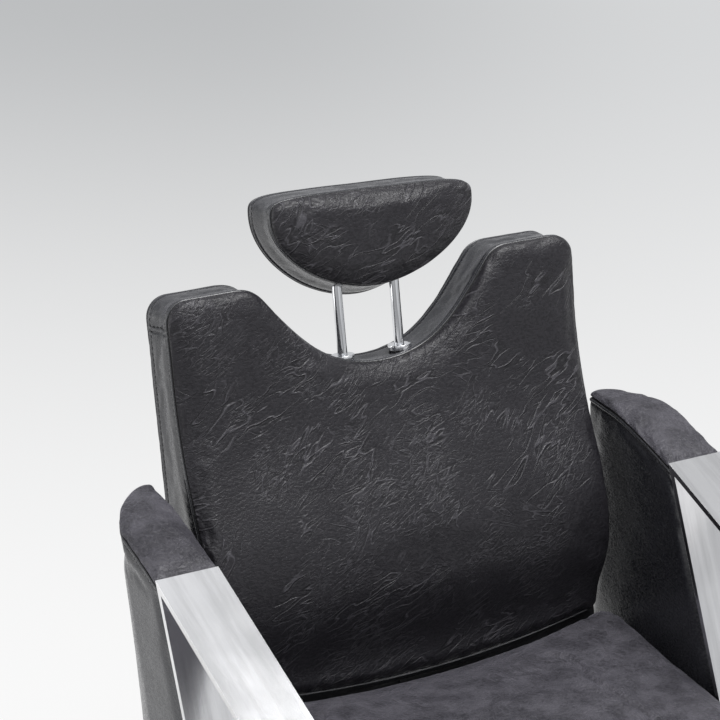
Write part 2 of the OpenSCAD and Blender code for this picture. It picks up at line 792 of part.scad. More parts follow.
module arm_brackets() {
    foot_z = arm_z + arm_bar_thickness;
    color([0.16, 0.16, 0.17]) both_sides() difference() {
        union() {
            block([bracket_inner_x, foot_front_y, rail_z], [arm_inner_x, arm_bracket_rear_y, rail_top_z]);
            block([bracket_inner_x, foot_front_y, foot_z],
                [arm_inner_x + foot_depth, foot_front_y + foot_length, foot_z + foot_thickness]);
        }
        arm_bolt_holes();
        loop_screw_holes();
    }
}

module loop_screw_holes() {
    for (y = loop_screw_y) translate([arm_inner_x + foot_depth / 2, y, 0])
        upright(arm_z - cut_overrun, rail_top_z, loop_screw_diameter + 2 * bolt_clearance);
}

module loop_screws() {
    grip = arm_bar_thickness + foot_thickness;
    color([0.6, 0.6, 0.62]) both_sides() for (y = loop_screw_y)
        bolt_down(arm_inner_x + foot_depth / 2, y, arm_z + grip, loop_screw_diameter, grip);
}

// Bolts from inside the rail, through rail and bracket, into the pad's core.
module arm_bolts() {
    end_x = arm_inner_x + arm_width / 2 + pad_core_thickness / 2;
    head = arm_bolt_diameter * bolt_head_height_share;
    color([0.6, 0.6, 0.62]) both_sides() for (y = arm_bolt_y) {
        along_x(rail_inner_x - head / 2, end_x, y, arm_bolt_z, arm_bolt_diameter);
        translate([rail_inner_x - head, y, arm_bolt_z]) rotate([0, 90, 0])
            cylinder(d = arm_bolt_diameter * bolt_head_width_share, h = head, $fn = 6);
    }
}

// Recline hinge and its gas spring lock

pin_head_diameter = 20;
pin_head_thickness = 5;
pin_inner_overhang = 2;
gas_diameter = 22;
gas_wall = 2;
gas_end_wall = 6;
gas_guide_length = 12;
gas_rod_diameter = 10;
gas_piston_length = 10;
gas_plate_gap = 1.3;
gas_bracket_half = 18;
gas_bracket_length = 30;
gas_piston_gap = 0.3;
gas_stop_room = 9.7;
lug_thickness = 8;
lug_end_radius = 12;
lug_web_half = 7;
lug_tube_radius = 19;
lug_pin_diameter = 8;
tube_diameter = 25;
tube_wall = 2.5;
fork_gap = 0.5;
fork_ear_thickness = 5;
fork_ear_front = 14;
fork_ear_rear = 11;
fork_block_length = 10;
fork_mouth_gap = 1.4;
slot_side_clearance = 0.5;
slot_end_clearance = 1.2;
swing = recline_angle / 2;
gas_axis_z = plate_z - gas_diameter / 2 - gas_plate_gap;
lug_length = 2 * (hinge_z - gas_axis_z) / (1 + cos(swing));
lug_travel = 2 * lug_length * sin(swing);
lug_pin_y = hinge_y + lug_length * sin(swing);
lug_pin_z = hinge_z - lug_length * cos(swing);
fork_front_y = lug_pin_y - fork_ear_front - fork_block_length;
gas_mouth_y = fork_front_y - lug_travel - fork_mouth_gap;
gas_piston_y = gas_mouth_y - gas_guide_length - gas_piston_gap - gas_piston_length;
gas_inner_y = gas_piston_y - lug_travel - gas_stop_room;
gas_end_y = gas_inner_y - gas_end_wall;

module hinge_ears() {
    color([0.16, 0.16, 0.17]) both_sides() side_plate(ear_inner_x, rail_inner_x) difference() {
        union() {
            translate([hinge_y, hinge_z]) circle(r = hinge_ear_radius);
            translate([hinge_y - hinge_ear_radius, rail_z]) square([2 * hinge_ear_radius, hinge_z - rail_z]);
        }
        translate([hinge_y, hinge_z]) circle(d = hinge_pin_diameter);
    }
}

module hinge_pins() {
    color([0.75, 0.76, 0.77]) both_sides() {
        along_x(bracket_plate_inner_x - pin_inner_overhang, rail_inner_x + pin_head_thickness / 2,
            hinge_y, hinge_z, hinge_pin_diameter);
        along_x(rail_inner_x, rail_inner_x + pin_head_thickness, hinge_y, hinge_z, pin_head_diameter);
    }
}

module hinge_bushes() {
    color([0.72, 0.55, 0.3]) both_sides() difference() {
        along_x(bracket_plate_inner_x, bracket_plate_outer_x, hinge_y, hinge_z,
            hinge_pin_diameter + 2 * hinge_bush_wall);
        along_x(0, arm_inner_x, hinge_y, hinge_z, hinge_pin_diameter + 2 * running_clearance);
    }
}

module cross_tube() {
    color([0.16, 0.16, 0.17]) difference() {
        along_x(-bracket_plate_inner_x, bracket_plate_inner_x, hinge_y, hinge_z, tube_diameter);
        along_x(-arm_inner_x, arm_inner_x, hinge_y, hinge_z, tube_diameter - 2 * tube_wall);
    }
}

// Lever on the cross tube that pushes the gas spring's rod as the back reclines.
module recline_lug() {
    across = [cos(swing), sin(swing)] * lug_web_half;
    top = [hinge_y, hinge_z];
    end = [lug_pin_y, lug_pin_z];
    color([0.16, 0.16, 0.17]) side_plate(-lug_thickness / 2, lug_thickness / 2) difference() {
        union() {
            translate(top) circle(r = lug_tube_radius);
            translate(end) circle(r = lug_end_radius);
            polygon([top - across, end - across, end + across, top + across]);
        }
        translate(top) circle(d = tube_diameter);
        translate(end) circle(d = lug_pin_diameter);
    }
}

module lug_pin() {
    end_x = lug_thickness / 2 + fork_gap + fork_ear_thickness + pin_inner_overhang;
    color([0.75, 0.76, 0.77]) along_x(-end_x, end_x, lug_pin_y, lug_pin_z, lug_pin_diameter);
}

module gas_cylinder() {
    color([0.1, 0.1, 0.105]) difference() {
        along_y(gas_end_y, gas_mouth_y, 0, gas_axis_z, gas_diameter);
        along_y(gas_inner_y, gas_mouth_y - gas_guide_length, 0, gas_axis_z, gas_diameter - 2 * gas_wall);
        along_y(gas_inner_y, gas_mouth_y + cut_overrun, 0, gas_axis_z,
            gas_rod_diameter + 2 * running_clearance);
        along_y(gas_end_y - cut_overrun, gas_inner_y + cut_overrun, 0, gas_axis_z,
            release_pin_diameter + 2 * running_clearance);
    }
}

module gas_bracket() {
    color([0.16, 0.16, 0.17]) difference() {
        block([-gas_bracket_half, seat_plate_half - gas_bracket_length, gas_axis_z - gas_bracket_half],
            [gas_bracket_half, seat_plate_half, plate_z]);
        along_y(0, seat_plate_half + cut_overrun, 0, gas_axis_z, gas_diameter);
    }
}

module gas_rod() {
    color([0.85, 0.86, 0.87]) union() {
        along_y(gas_piston_y, fork_front_y, 0, gas_axis_z, gas_rod_diameter);
        along_y(gas_piston_y, gas_piston_y + gas_piston_length, 0, gas_axis_z,
            gas_diameter - 2 * gas_wall - 2 * running_clearance);
    }
}

// Fork with upright slots, so the lug's pin can rise and fall a little along its arc.
module gas_fork() {
    inner = lug_thickness / 2 + fork_gap;
    outer = inner + fork_ear_thickness;
    rise = lug_length * (1 - cos(swing)) / 2;
    slot_half = rise + slot_end_clearance;
    slot_radius = lug_pin_diameter / 2 + slot_side_clearance;
    half_height = slot_half + slot_radius + fork_ear_thickness;
    ear_y = fork_front_y + fork_block_length;
    color([0.3, 0.3, 0.31]) {
        block([-outer, fork_front_y, gas_axis_z - half_height], [outer, ear_y, gas_axis_z + half_height]);
        both_sides() side_plate(inner, outer) difference() {
            translate([ear_y, gas_axis_z - half_height])
                square([fork_ear_front + fork_ear_rear, 2 * half_height]);
            for (side = [-1, 1])
                translate([lug_pin_y, gas_axis_z + side * slot_half]) circle(r = slot_radius);
            translate([lug_pin_y - slot_radius, gas_axis_z - slot_half])
                square([2 * slot_radius, 2 * slot_half]);
        }
    }
}

// Release lever under the right of the seat

release_pin_diameter = 6;
shaft_diameter = 10;
shaft_gap = 18;
finger_half = 5;
finger_rise = 28;
finger_tip = 3;
finger_half_width = 6;
shaft_inner_x = -14;
shaft_outer_x = 300;
lever_block_half = 13;
lever_inner_block_x = 22;
lever_inner_block_width = 16;
handle_thickness = 8;
handle_length = 110;
handle_angle = 12;
handle_half_width = 9;
peg_diameter = 10;
grip_diameter = 24;
grip_length = 54;
grip_end_radius = 6;
lever_y = gas_end_y - shaft_gap;
lever_z = gas_axis_z - finger_rise;
handle_end_y = lever_y - handle_length * cos(handle_angle);
handle_end_z = lever_z - handle_length * sin(handle_angle);

module release_pin() {
    color([0.75, 0.76, 0.77])
        along_y(lever_y + finger_half + soft_clearance, gas_inner_y - gas_wall, 0, gas_axis_z,
            release_pin_diameter);
}

module lever_shaft() {
    color([0.75, 0.76, 0.77]) union() {
        along_x(shaft_inner_x, shaft_outer_x, lever_y, lever_z, shaft_diameter);
        block([-finger_half_width, lever_y, lever_z],
            [finger_half_width, lever_y + finger_half, gas_axis_z + finger_tip]);
    }
}

module lever_brackets() {
    color([0.16, 0.16, 0.17]) difference() {
        union() {
            block([rail_inner_x, lever_y - lever_block_half, lever_z - lever_block_half],
                [bracket_inner_x, lever_y + lever_block_half, rail_z]);
            block([lever_inner_block_x, lever_y - lever_block_half, lever_z - lever_block_half],
                [lever_inner_block_x + lever_inner_block_width, lever_y + lever_block_half, plate_z]);
        }
        along_x(0, arm_inner_x, lever_y, lever_z, shaft_diameter + 2 * running_clearance);
    }
}

module release_handle() {
    across = [-sin(handle_angle), cos(handle_angle)] * handle_half_width;
    top = [lever_y, lever_z];
    end = [handle_end_y, handle_end_z];
    inner_x = shaft_outer_x - handle_thickness;
    color([0.82, 0.83, 0.84]) union() {
        side_plate(inner_x, shaft_outer_x) difference() {
            union() {
                translate(top) circle(r = handle_half_width);
                translate(end) circle(r = handle_half_width);
                polygon([top + across, end + across, end - across, top - across]);
            }
            translate(top) circle(d = shaft_diameter);
        }
        along_x(shaft_outer_x - handle_thickness / 2, shaft_outer_x + grip_length - grip_end_radius,
            handle_end_y, handle_end_z, peg_diameter);
    }
}

module release_grip() {
    r = grip_end_radius;
    side = grip_diameter / 2 - r;
    place = [shaft_outer_x, handle_end_y, handle_end_z];
    color([0.05, 0.05, 0.055]) translate(place) rotate([0, 90, 0]) difference() {
        rotate_extrude() polygon(concat(
            [[0, 0]], arc_points([side, r], r, -90, 0, 6),
            arc_points([side, grip_length - r], r, 0, 90, 6), [[0, grip_length]]));
        translate([0, 0, -cut_overrun]) cylinder(d = peg_diameter, h = grip_length - r + cut_overrun);
    }
}

// Footrest

footrest_arm_half = 30;
footrest_arm_thickness = 12;
footrest_root_y = -60;
footrest_bend_y = -165;
sleeve_wall = 4;
sleeve_gap = 8;
sleeve_end_gap = 6;

// Polished flat bar that bends down from the seat plate to the foot bar.
module footrest_arm() {
    half = footrest_arm_thickness / 2;
    low = plate_z - footrest_arm_thickness;
    color([0.82, 0.83, 0.84]) difference() {
        side_plate(-footrest_arm_half, footrest_arm_half) polygon([
            [footrest_root_y, plate_z], [footrest_bend_y, plate_z],
            [-footrest_reach, footrest_height + half], [-footrest_reach, footrest_height - half],
            [footrest_bend_y + half, low], [footrest_root_y, low]]);
        along_x(-footrest_width, footrest_width, -footrest_reach, footrest_height, footrest_diameter);
    }
}

module footrest_bar() {
    half = footrest_width / 2;
    color([0.82, 0.83, 0.84]) along_x(-half, half, -footrest_reach, footrest_height, footrest_diameter);
}

module footrest_sleeve() {
    color([0.05, 0.05, 0.055]) both_sides() difference() {
        along_x(footrest_arm_half + sleeve_gap, footrest_width / 2 - sleeve_end_gap,
            -footrest_reach, footrest_height, footrest_diameter + 2 * sleeve_wall);
        along_x(0, footrest_width, -footrest_reach, footrest_height, footrest_diameter);
    }
}

// Backrest, drawn in its own frame

rod_depth = 34.6;
sleeve_diameter = 15;
sleeve_length = 130;
collar_diameter = 26;
collar_thickness = 6;
collar_seat = -5;
rod_hold_length = 90;
rod_bore_spare = 8;
rod_length_below = head_travel_up + rod_hold_length;
rod_bore = head_rod_diameter + 2 * running_clearance;
board_depth = 50;
board_thickness = 12;
panel_thickness = 9;
panel_half_width = 215;
panel_bottom_margin = 22;
panel_top_margin = 38;
panel_corner_radius = 30;
apron_margin = 1;
apron_drop = 54;
apron_corner_radius = 20;
flange_inner_x = 180;
flange_sheet = 6;
flange_bottom_margin = 14;
flange_height = 110;
leg_depth = 20;
screw_x = 200;
screw_diameter = 6;
screw_margin = 24;
screw_tip_gap = 2;
back_edge_radius = 8;
back_corner_radius = 12;
back_pull_in = 3;
back_crown = 6;
back_middle_share = 0.36;
lumbar_peak_share = 0.617;
lumbar_fade_share = 0.145;
lumbar_upper_power = 1.6;
lumbar_lower_power = 1.3;
notch_curve_shares = [[0, 0], [0.5, 0], [0.7, 0.45], [1, 1]];
notch_end_shares = [0.933, 0.883];
notch_round_run = 20;
panel_outer_depth = board_depth + board_thickness + panel_thickness;

// Forward swell of the front face at a height z, strongest at the small of the back.
function lumbar(z) =
    let (
        peak = -back_rise * lumbar_peak_share,
        top = back_rise * lumbar_fade_share,
        above = min(1, max(0, (top - z) / (top - peak))),
        below = min(1, max(0, (peak - z) / (peak + back_rise)))
    )
    z > peak
        ? lumbar_swell * pow(sin(90 * pow(above, lumbar_upper_power)), 2)
        : lumbar_swell * pow(cos(90 * pow(below, lumbar_lower_power)), 2);

// Right half of the backrest's outline, from the middle of its bottom edge round to the notch.
function back_half_outline() =
    let (
        half = back_width / 2,
        rb = back_corner_radius,
        rs = shoulder_radius,
        end = [notch_half_width * notch_end_shares[0], shoulder_rise * notch_end_shares[1]],
        control = [for (share = notch_curve_shares) [share[0] * end[0], share[1] * end[1] - notch_sag]],
        slope = (control[3][1] - control[2][1]) / (control[3][0] - control[2][0]),
        knee = [end[0] + (shoulder_top - control[3][1]) / slope, shoulder_top],
        start = [notch_half_width + notch_round_run, shoulder_top]
    )
    concat(
        [for (i = [0:5]) [(half - rb) * i / 6, back_bottom - back_sag * (1 - pow(i / 6, 2))]],
        arc_points([half - rb, back_bottom + rb], rb, -90, 0, 3),
        [for (i = [1:9]) [half, blend_value(back_bottom + rb, shoulder_top - rs, i / 10)]],
        arc_points([half - rs, shoulder_top - rs], rs, 0, 90, 5),
        [for (i = [1:2]) [blend_value(half - rs, start[0], i / 3), shoulder_top]],
        [for (i = [0:3])
            let (t = i / 4)
            start * pow(1 - t, 2) + knee * (2 * t * (1 - t)) + control[3] * t * t],
        [for (i = [12:-1:0]) curve_point(control, i / 12)]);
back_half = back_half_outline();
back_outline = concat(back_half, mirrored(back_half));
back_middle = [0, -back_rise * back_middle_share];
function back_inset(inset) =
    let (n = len(back_outline))
    [for (i = [0:n - 1])
        let (along = back_outline[(i + 1) % n] - back_outline[(i + n - 1) % n])
        back_outline[i] + [-along[1], along[0]] / norm(along) * inset];
function back_front_ring(inset, set_back, share) =
    [for (p = back_inset(inset))
        let (q = back_middle + (p - back_middle) * share)
        [q[0], set_back - lumbar(q[1]) - back_crown * (1 - share * share), q[1]]];
function back_side_ring(inset, depth) = [for (p = back_inset(inset)) [p[0], depth, p[1]]];
function back_mid_ring(inset) =
    [for (p = back_inset(inset)) [p[0], (back_thickness - lumbar(p[1])) / 2, p[1]]];

module back_panel_outline(inset) {
    r = panel_corner_radius;
    x = panel_half_width - inset;
    z0 = back_bottom + panel_bottom_margin + inset;
    z1 = -panel_top_margin - inset;
    union() {
        translate([-x + r, z0]) square([2 * (x - r), z1 - z0]);
        translate([-x, z0 + r]) square([2 * x, z1 - z0 - 2 * r]);
        for (cx = [-x + r, x - r], cz = [z0 + r, z1 - r]) translate([cx, cz]) circle(r = r);
    }
}

// Plan of the apron that closes the gap between the cushion and the hinge tube.
module apron_outline() {
    r = apron_corner_radius;
    x = bracket_plate_inner_x - apron_margin;
    low = back_bottom - apron_drop;
    join = back_bottom + panel_bottom_margin + panel_corner_radius;
    translate([-x, low + r]) square([2 * x, join - low - r]);
    translate([-x + r, low]) square([2 * (x - r), join - low]);
    for (cx = [-x + r, x - r]) translate([cx, low + r]) circle(r = r);
}

// Extrudes a plan drawn as [x, z] points through a range of depth.
module through_depth(y0, y1) {
    translate([0, y1, 0]) rotate([90, 0, 0]) linear_extrude(y1 - y0) children();
}

module at_rods() {
    for (side = [-1, 1]) translate([side * head_rod_spacing / 2, rod_depth, 0]) children();
}

module bracket_screw_places() {
    low = back_bottom + flange_bottom_margin + screw_margin;
    high = back_bottom + flange_bottom_margin + flange_height - screw_margin;
    for (side = [-1, 1], z = [low, high]) translate([side * screw_x, 0, z]) rotate([-90, 0, 0]) children();
}

module back_cushion() {
    r = back_edge_radius;
    middle_s = back_middle[1];
    bore_low = -rod_length_below - head_travel_down - rod_bore_spare;
    rings = concat(
        [for (i = [1:6]) back_front_ring(r, 0, i / 6)],
        [back_front_ring(r * (1 - sin(45)), r * (1 - cos(45)), 1), back_front_ring(0, r, 1)],
        [back_mid_ring(back_pull_in), back_side_ring(0, back_thickness - r)],
        [back_side_ring(r * (1 - sin(45)), back_thickness - r * (1 - cos(45)))],
        [back_side_ring(r, back_thickness)]);
    color([0.12, 0.12, 0.13]) in_back() difference() {
        ring_solid([0, -lumbar(middle_s) - back_crown, middle_s], rings, [0, back_thickness, middle_s]);
        through_depth(board_depth, back_thickness + cut_overrun) back_panel_outline(0);
        at_rods() {
            upright(bore_low, collar_seat + cut_overrun, sleeve_diameter + 2 * soft_clearance);
            upright(collar_seat, collar_seat + shoulder_rise, collar_diameter + 2 * soft_clearance);
        }
    }
}

module back_board() {
    color([0.72, 0.58, 0.4]) in_back() difference() {
        through_depth(board_depth, board_depth + board_thickness) back_panel_outline(soft_clearance);
        bracket_screw_places() cylinder(d = screw_diameter, h = back_thickness);
    }
}

module back_panel() {
    color([0.1, 0.1, 0.11]) in_back() difference() {
        union() {
            through_depth(board_depth + board_thickness, panel_outer_depth)
                back_panel_outline(soft_clearance);
            through_depth(back_thickness + soft_clearance, panel_outer_depth) apron_outline();
        }
        bracket_screw_places() cylinder(d = screw_diameter, h = 2 * back_thickness);
    }
}

// Steel brackets that carry the backrest: an eye on the hinge line, a leg up behind the cushion and
// a flange screwed on through the rear panel into the board.
module back_brackets() {
    low = back_bottom + flange_bottom_margin;
    eye = [hinge_depth, back_bottom - hinge_drop];
    rear = panel_outer_depth + leg_depth;
    shelf = back_bottom - hinge_ear_radius / 2;
    top = low + flange_height;
    color([0.16, 0.16, 0.17]) in_back() both_sides() difference() {
        union() {
            side_plate(bracket_plate_inner_x, bracket_plate_outer_x) {
                translate(eye) circle(r = hinge_ear_radius);
                polygon([
                    eye - [hinge_ear_radius, 0], [hinge_depth - hinge_ear_radius, shelf],
                    [panel_outer_depth, shelf], [panel_outer_depth, top], [rear - leg_depth / 2, top],
                    [rear, low], [rear, shelf], eye + [hinge_ear_radius, 0]]);
            }
            block([flange_inner_x, panel_outer_depth, low],
                [bracket_plate_inner_x, panel_outer_depth + flange_sheet, top]);
        }
        translate([0, eye[0], eye[1]]) rotate([0, 90, 0])
            cylinder(d = hinge_pin_diameter + 2 * hinge_bush_wall, h = arm_inner_x);
        bracket_screw_places() cylinder(d = screw_diameter, h = 2 * back_thickness);
    }
}

module bracket_screws() {
    head_depth = panel_outer_depth + flange_sheet;
    color([0.6, 0.6, 0.62]) in_back() bracket_screw_places() {
        translate([0, 0, board_depth + screw_tip_gap])
            cylinder(d = screw_diameter, h = head_depth - board_depth);
        translate([0, 0, head_depth])
            cylinder(d = screw_diameter * bolt_head_width_share, h = screw_diameter * bolt_head_height_share);
    }
}

module guide_sleeves() {
    color([0.05, 0.05, 0.055]) in_back() at_rods()
        ring_between(collar_seat - sleeve_length, collar_seat, sleeve_diameter, rod_bore);
}

module rod_collars() {
    color([0.82, 0.83, 0.84]) in_back() at_rods()
        ring_between(collar_seat, collar_seat + collar_thickness, collar_diameter, rod_bore);
}

// Headrest

crossbar_half_length = 55;
crossbar_half_depth = 9;
crossbar_half_height = 12;
head_forward = 5;
head_edge_radius = 7;
head_pull_in = 2;
head_crown = 7;
head_upper_power = 5;
head_lower_power = 1.8;
head_points = 64;
head_ring_shares = [0.35, 0.7, 1];

function signed_power(value, power) = sign(value) * pow(abs(value), power);
// Outline of the pad about its widest line: nearly straight above, rounded to a blunt point below.
function head_outline(flare_share, inset) =
    [for (i = [0:head_points - 1])
        let (
            a = -90 + 360 * i / head_points,
            power = sin(a) > 0 ? head_upper_power : head_lower_power,
            height = (sin(a) > 0 ? head_rise : head_drop + head_flare * flare_share) - inset,
            half = head_width / 2 - inset
        )
        [half * signed_power(cos(a), 2 / power), height * signed_power(sin(a), 2 / power)]];
function head_ring(flare_share, inset, depth, share) =
    [for (p = head_outline(flare_share, inset))
        [p[0] * share, depth - head_crown * (1 - share * share), p[1] * share]];

module head_pad() {
    r = head_edge_radius;
    front = -head_forward;
    rear = head_thickness - head_forward;
    hole_low = head_height - head_drop - head_flare - head_edge_radius;
    rings = concat(
        [for (share = head_ring_shares) head_ring(0, r, front, share)],
        [head_ring(0, r * (1 - sin(45)), front + r * (1 - cos(45)), 1), head_ring(0, 0, front + r, 1)],
        [head_ring(1 / 2, head_pull_in, (front + rear) / 2, 1), head_ring(1, 0, rear - r, 1)],
        [head_ring(1, r * (1 - sin(45)), rear - r * (1 - cos(45)), 1), head_ring(1, r, rear, 1)]);
    color([0.12, 0.12, 0.13]) in_back() difference() {
        translate([0, 0, head_height]) rotate([0, head_roll, 0])
            ring_solid([0, front - head_crown, 0], rings, [0, rear, 0]);
        crossbar_box();
        at_rods() upright(hole_low, head_height, head_rod_diameter + 2 * soft_clearance);
    }
}

module crossbar_box() {
    block([-crossbar_half_length, rod_depth - crossbar_half_depth, head_height - crossbar_half_height],
        [crossbar_half_length, rod_depth + crossbar_half_depth, head_height + crossbar_half_height]);
}

module head_crossbar() {
    color([0.25, 0.25, 0.26]) in_back() difference() {
        crossbar_box();
        at_rods() upright(0, head_height + head_drop, head_rod_diameter);
    }
}

module head_rods() {
    color([0.85, 0.86, 0.87]) in_back() at_rods()
        upright(-rod_length_below, head_height + crossbar_half_height, head_rod_diameter);
}

floor_pad();
base_weight();
base_cover();
pump_cylinder();
cylinder_bolts();
guide_bush();
gland_ring();
column_shroud();
pump_block();
pedal_bracket();
pedal_pin();
ram_rod();
ram_piston();
thrust_washer();
swivel_hub();
seat_plate();
plate_bolts();
side_rails();
cross_rails();
seat_board();
seat_cushion();
arm_brackets();
arm_frame_left();
arm_frame_right();
arm_pad_left();
arm_pad_right();
arm_cores();
arm_bolts();
loop_screws();
hinge_ears();
hinge_pins();
gas_bracket();
gas_cylinder();
lever_brackets();
footrest_arm();
footrest_bar();
footrest_sleeve();
back_cushion();
back_board();
back_panel();
back_brackets();
bracket_screws();
hinge_bushes();
cross_tube();
recline_lug();
lug_pin();
guide_sleeves();
rod_collars();
gas_rod();
gas_fork();
head_pad();
head_crossbar();
head_rods();
pedal_arm();
pedal_pad();
pump_plunger();
lever_shaft();
release_handle();
release_grip();
release_pin();
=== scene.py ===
"""Looks of a reclining hairdressing chair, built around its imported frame."""

import json
import math

import bmesh
import bpy
import numpy as np
from mathutils import Matrix, Vector, noise
from mathutils.geometry import delaunay_2d_cdt


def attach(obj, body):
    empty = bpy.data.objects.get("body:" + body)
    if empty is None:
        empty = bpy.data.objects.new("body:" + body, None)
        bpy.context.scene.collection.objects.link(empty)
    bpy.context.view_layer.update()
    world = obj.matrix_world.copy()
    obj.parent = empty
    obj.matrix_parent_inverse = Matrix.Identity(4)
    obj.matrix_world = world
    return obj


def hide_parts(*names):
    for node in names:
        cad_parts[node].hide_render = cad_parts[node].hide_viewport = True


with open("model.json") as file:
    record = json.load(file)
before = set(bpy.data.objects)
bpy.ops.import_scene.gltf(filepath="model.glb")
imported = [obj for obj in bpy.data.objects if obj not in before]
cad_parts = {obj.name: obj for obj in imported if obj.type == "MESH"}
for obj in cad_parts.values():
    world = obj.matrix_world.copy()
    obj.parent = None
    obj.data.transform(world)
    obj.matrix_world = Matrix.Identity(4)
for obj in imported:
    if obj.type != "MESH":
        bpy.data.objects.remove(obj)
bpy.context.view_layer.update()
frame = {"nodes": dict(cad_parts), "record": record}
nodes = frame["nodes"]
scene = bpy.context.scene
MM = 0.001


# Small helpers for outlines, in millimetres

def arc(centre, radius, start, end, steps):
    angles = np.radians(np.linspace(start, end, steps))
    return np.asarray(centre) + radius * np.column_stack([np.cos(angles), np.sin(angles)])


def bezier(points, steps):
    t = np.linspace(0, 1, steps)[:, None]
    level = [np.asarray(p, float) for p in points]
    while len(level) > 1:
        level = [a * (1 - t) + b * t for a, b in zip(level, level[1:])]
    return level[0]


def line(a, b, steps):
    """Points from a towards b, without b itself."""
    t = np.linspace(0, 1, steps, endpoint=False)[:, None]
    return np.asarray(a, float) * (1 - t) + np.asarray(b, float) * t


def resample(points, spacing, marked=()):
    """Even points round a closed outline, with more of them round the marked places.

    A marked place is a point and the way, 1 or -1, in which its seam's ridge lies. The second result
    holds each point's distance along the outline from each marked place.
    """
    closed = np.vstack([points, points[:1]])
    steps = np.linalg.norm(np.diff(closed, axis=0), axis=1)
    run = np.concatenate([[0], np.cumsum(steps)])
    count = int(round(run[-1] / spacing))
    places = np.linspace(0, run[-1], count, endpoint=False)
    marks = []
    for point, way in marked:
        middle = run[np.argmin(np.linalg.norm(points - np.asarray(point), axis=1))]
        marks.append((middle, way))
        places = places[np.abs(places - middle) > CROSS_REACH]
        places = np.concatenate([places, middle + way * np.array(CROSS_STEPS)])
    places = np.sort(places)
    found = np.column_stack([np.interp(places, run, closed[:, k]) for k in (0, 1)])
    distances = [way * (places - middle) for middle, way in marks]
    return found, distances


def inward_ways(points):
    """Inward direction at each point of a closed outline that runs anticlockwise."""
    along = np.roll(points, -1, 0) - np.roll(points, 1, 0)
    along /= np.linalg.norm(along, axis=1)[:, None]
    return np.column_stack([-along[:, 1], along[:, 0]])


def inside(points, loop):
    """Which points lie within a closed outline."""
    x, y = points[:, 0][:, None], points[:, 1][:, None]
    ax, ay = loop[:, 0], loop[:, 1]
    bx, by = np.roll(ax, -1), np.roll(ay, -1)
    crosses = (ay > y) != (by > y)
    rise = np.where(by == ay, 1e-9, by - ay)
    return (crosses & (x < (bx - ax) * (y - ay) / rise + ax)).sum(1) % 2 == 1


def nearest(points, loop):
    """Distance from each point to the closest outline point."""
    return np.min(np.linalg.norm(points[:, None] - loop[None], axis=2), axis=1)


def fill_cap(loops, grid):
    """Triangles between a closed outer loop and any inner loops, with even points between them."""
    outer = loops[0]
    low, high = outer.min(0), outer.max(0)
    row_step = grid * math.sqrt(3) / 2
    spots = []
    for row, y in enumerate(np.arange(low[1] + row_step / 2, high[1], row_step)):
        shift = grid / 2 if row % 2 else 0
        spots += [(x, y) for x in np.arange(low[0] + shift + grid / 4, high[0], grid)]
    spots = np.array(spots)
    spots = spots[inside(spots, outer)]
    for hole in loops[1:]:
        spots = spots[~inside(spots, hole)]
    for loop in loops:
        spots = spots[nearest(spots, loop) > grid * 0.62]
    edges, start = [], 0
    for loop in loops:
        count = len(loop)
        edges += [(start + i, start + (i + 1) % count) for i in range(count)]
        start += count
    coordinates = np.vstack(loops + [spots])
    kind = 2 if len(loops) > 1 else 1
    out = delaunay_2d_cdt([Vector(c) for c in coordinates], edges, [], kind, 1e-6)
    origin = [ids[0] for ids in out[3]]
    faces = [[origin[i] for i in face] for face in out[2]]
    return spots, faces


# Seams: how far the leather sits in from the outline, and how far behind the face, in millimetres

CROSS_REACH = 9
CROSS_STEPS = (-3.0, -1.6, -0.8, 0.0, 0.8, 1.6, 3.0, 4.4, 5.2, 6.0, 6.8, 7.8)
CROSS_DEPTHS = (0.0, 0.0, 0.6, 1.9, 0.5, -0.4, -0.5, -0.3, 0.3, 0.8, 0.3, 0.0)
CROSS_STITCHES = 6.0
SEAM_TURN, PLAIN_TURN = 78, 90


def seam_rows(radius, roll_steps):
    """Rows from the edge of a face panel over its rounded edge, seam, ridge and row of stitches."""
    rows = []
    for i in range(roll_steps):
        a = math.radians(SEAM_TURN * i / (roll_steps - 1))
        rows.append((radius * (1 - math.sin(a)), radius * (1 - math.cos(a)), "roll"))
    rows += [
        (0.5, radius * 0.93, "seam"),
        (2.9, radius + 0.4, "groove"),
        (2.9, radius + 1.3, "groove"),
        (0.4, radius + 2.3, "seam"),
        (-0.7, radius + 3.5, "ridge"),
        (-0.6, radius + 5.2, "ridge"),
        (0.4, radius + 6.5, "seam"),
        (1.3, radius + 7.4, "stitch"),
        (0.4, radius + 8.3, "seam"),
        (0.0, radius + 9.8, "seam"),
    ]
    return rows


def plain_rows(radius, roll_steps):
    """Rows over a rounded edge with no seam."""
    rows = []
    for i in range(roll_steps):
        a = math.radians(PLAIN_TURN * i / (roll_steps - 1))
        rows.append((radius * (1 - math.sin(a)), radius * (1 - math.cos(a)), "plain"))
    return rows


def cross_profile(distance):
    """Extra inset across a boxing joint: a groove, a ridge and a shallow line of stitches."""
    return np.interp(distance, CROSS_STEPS, CROSS_DEPTHS, left=0, right=0)


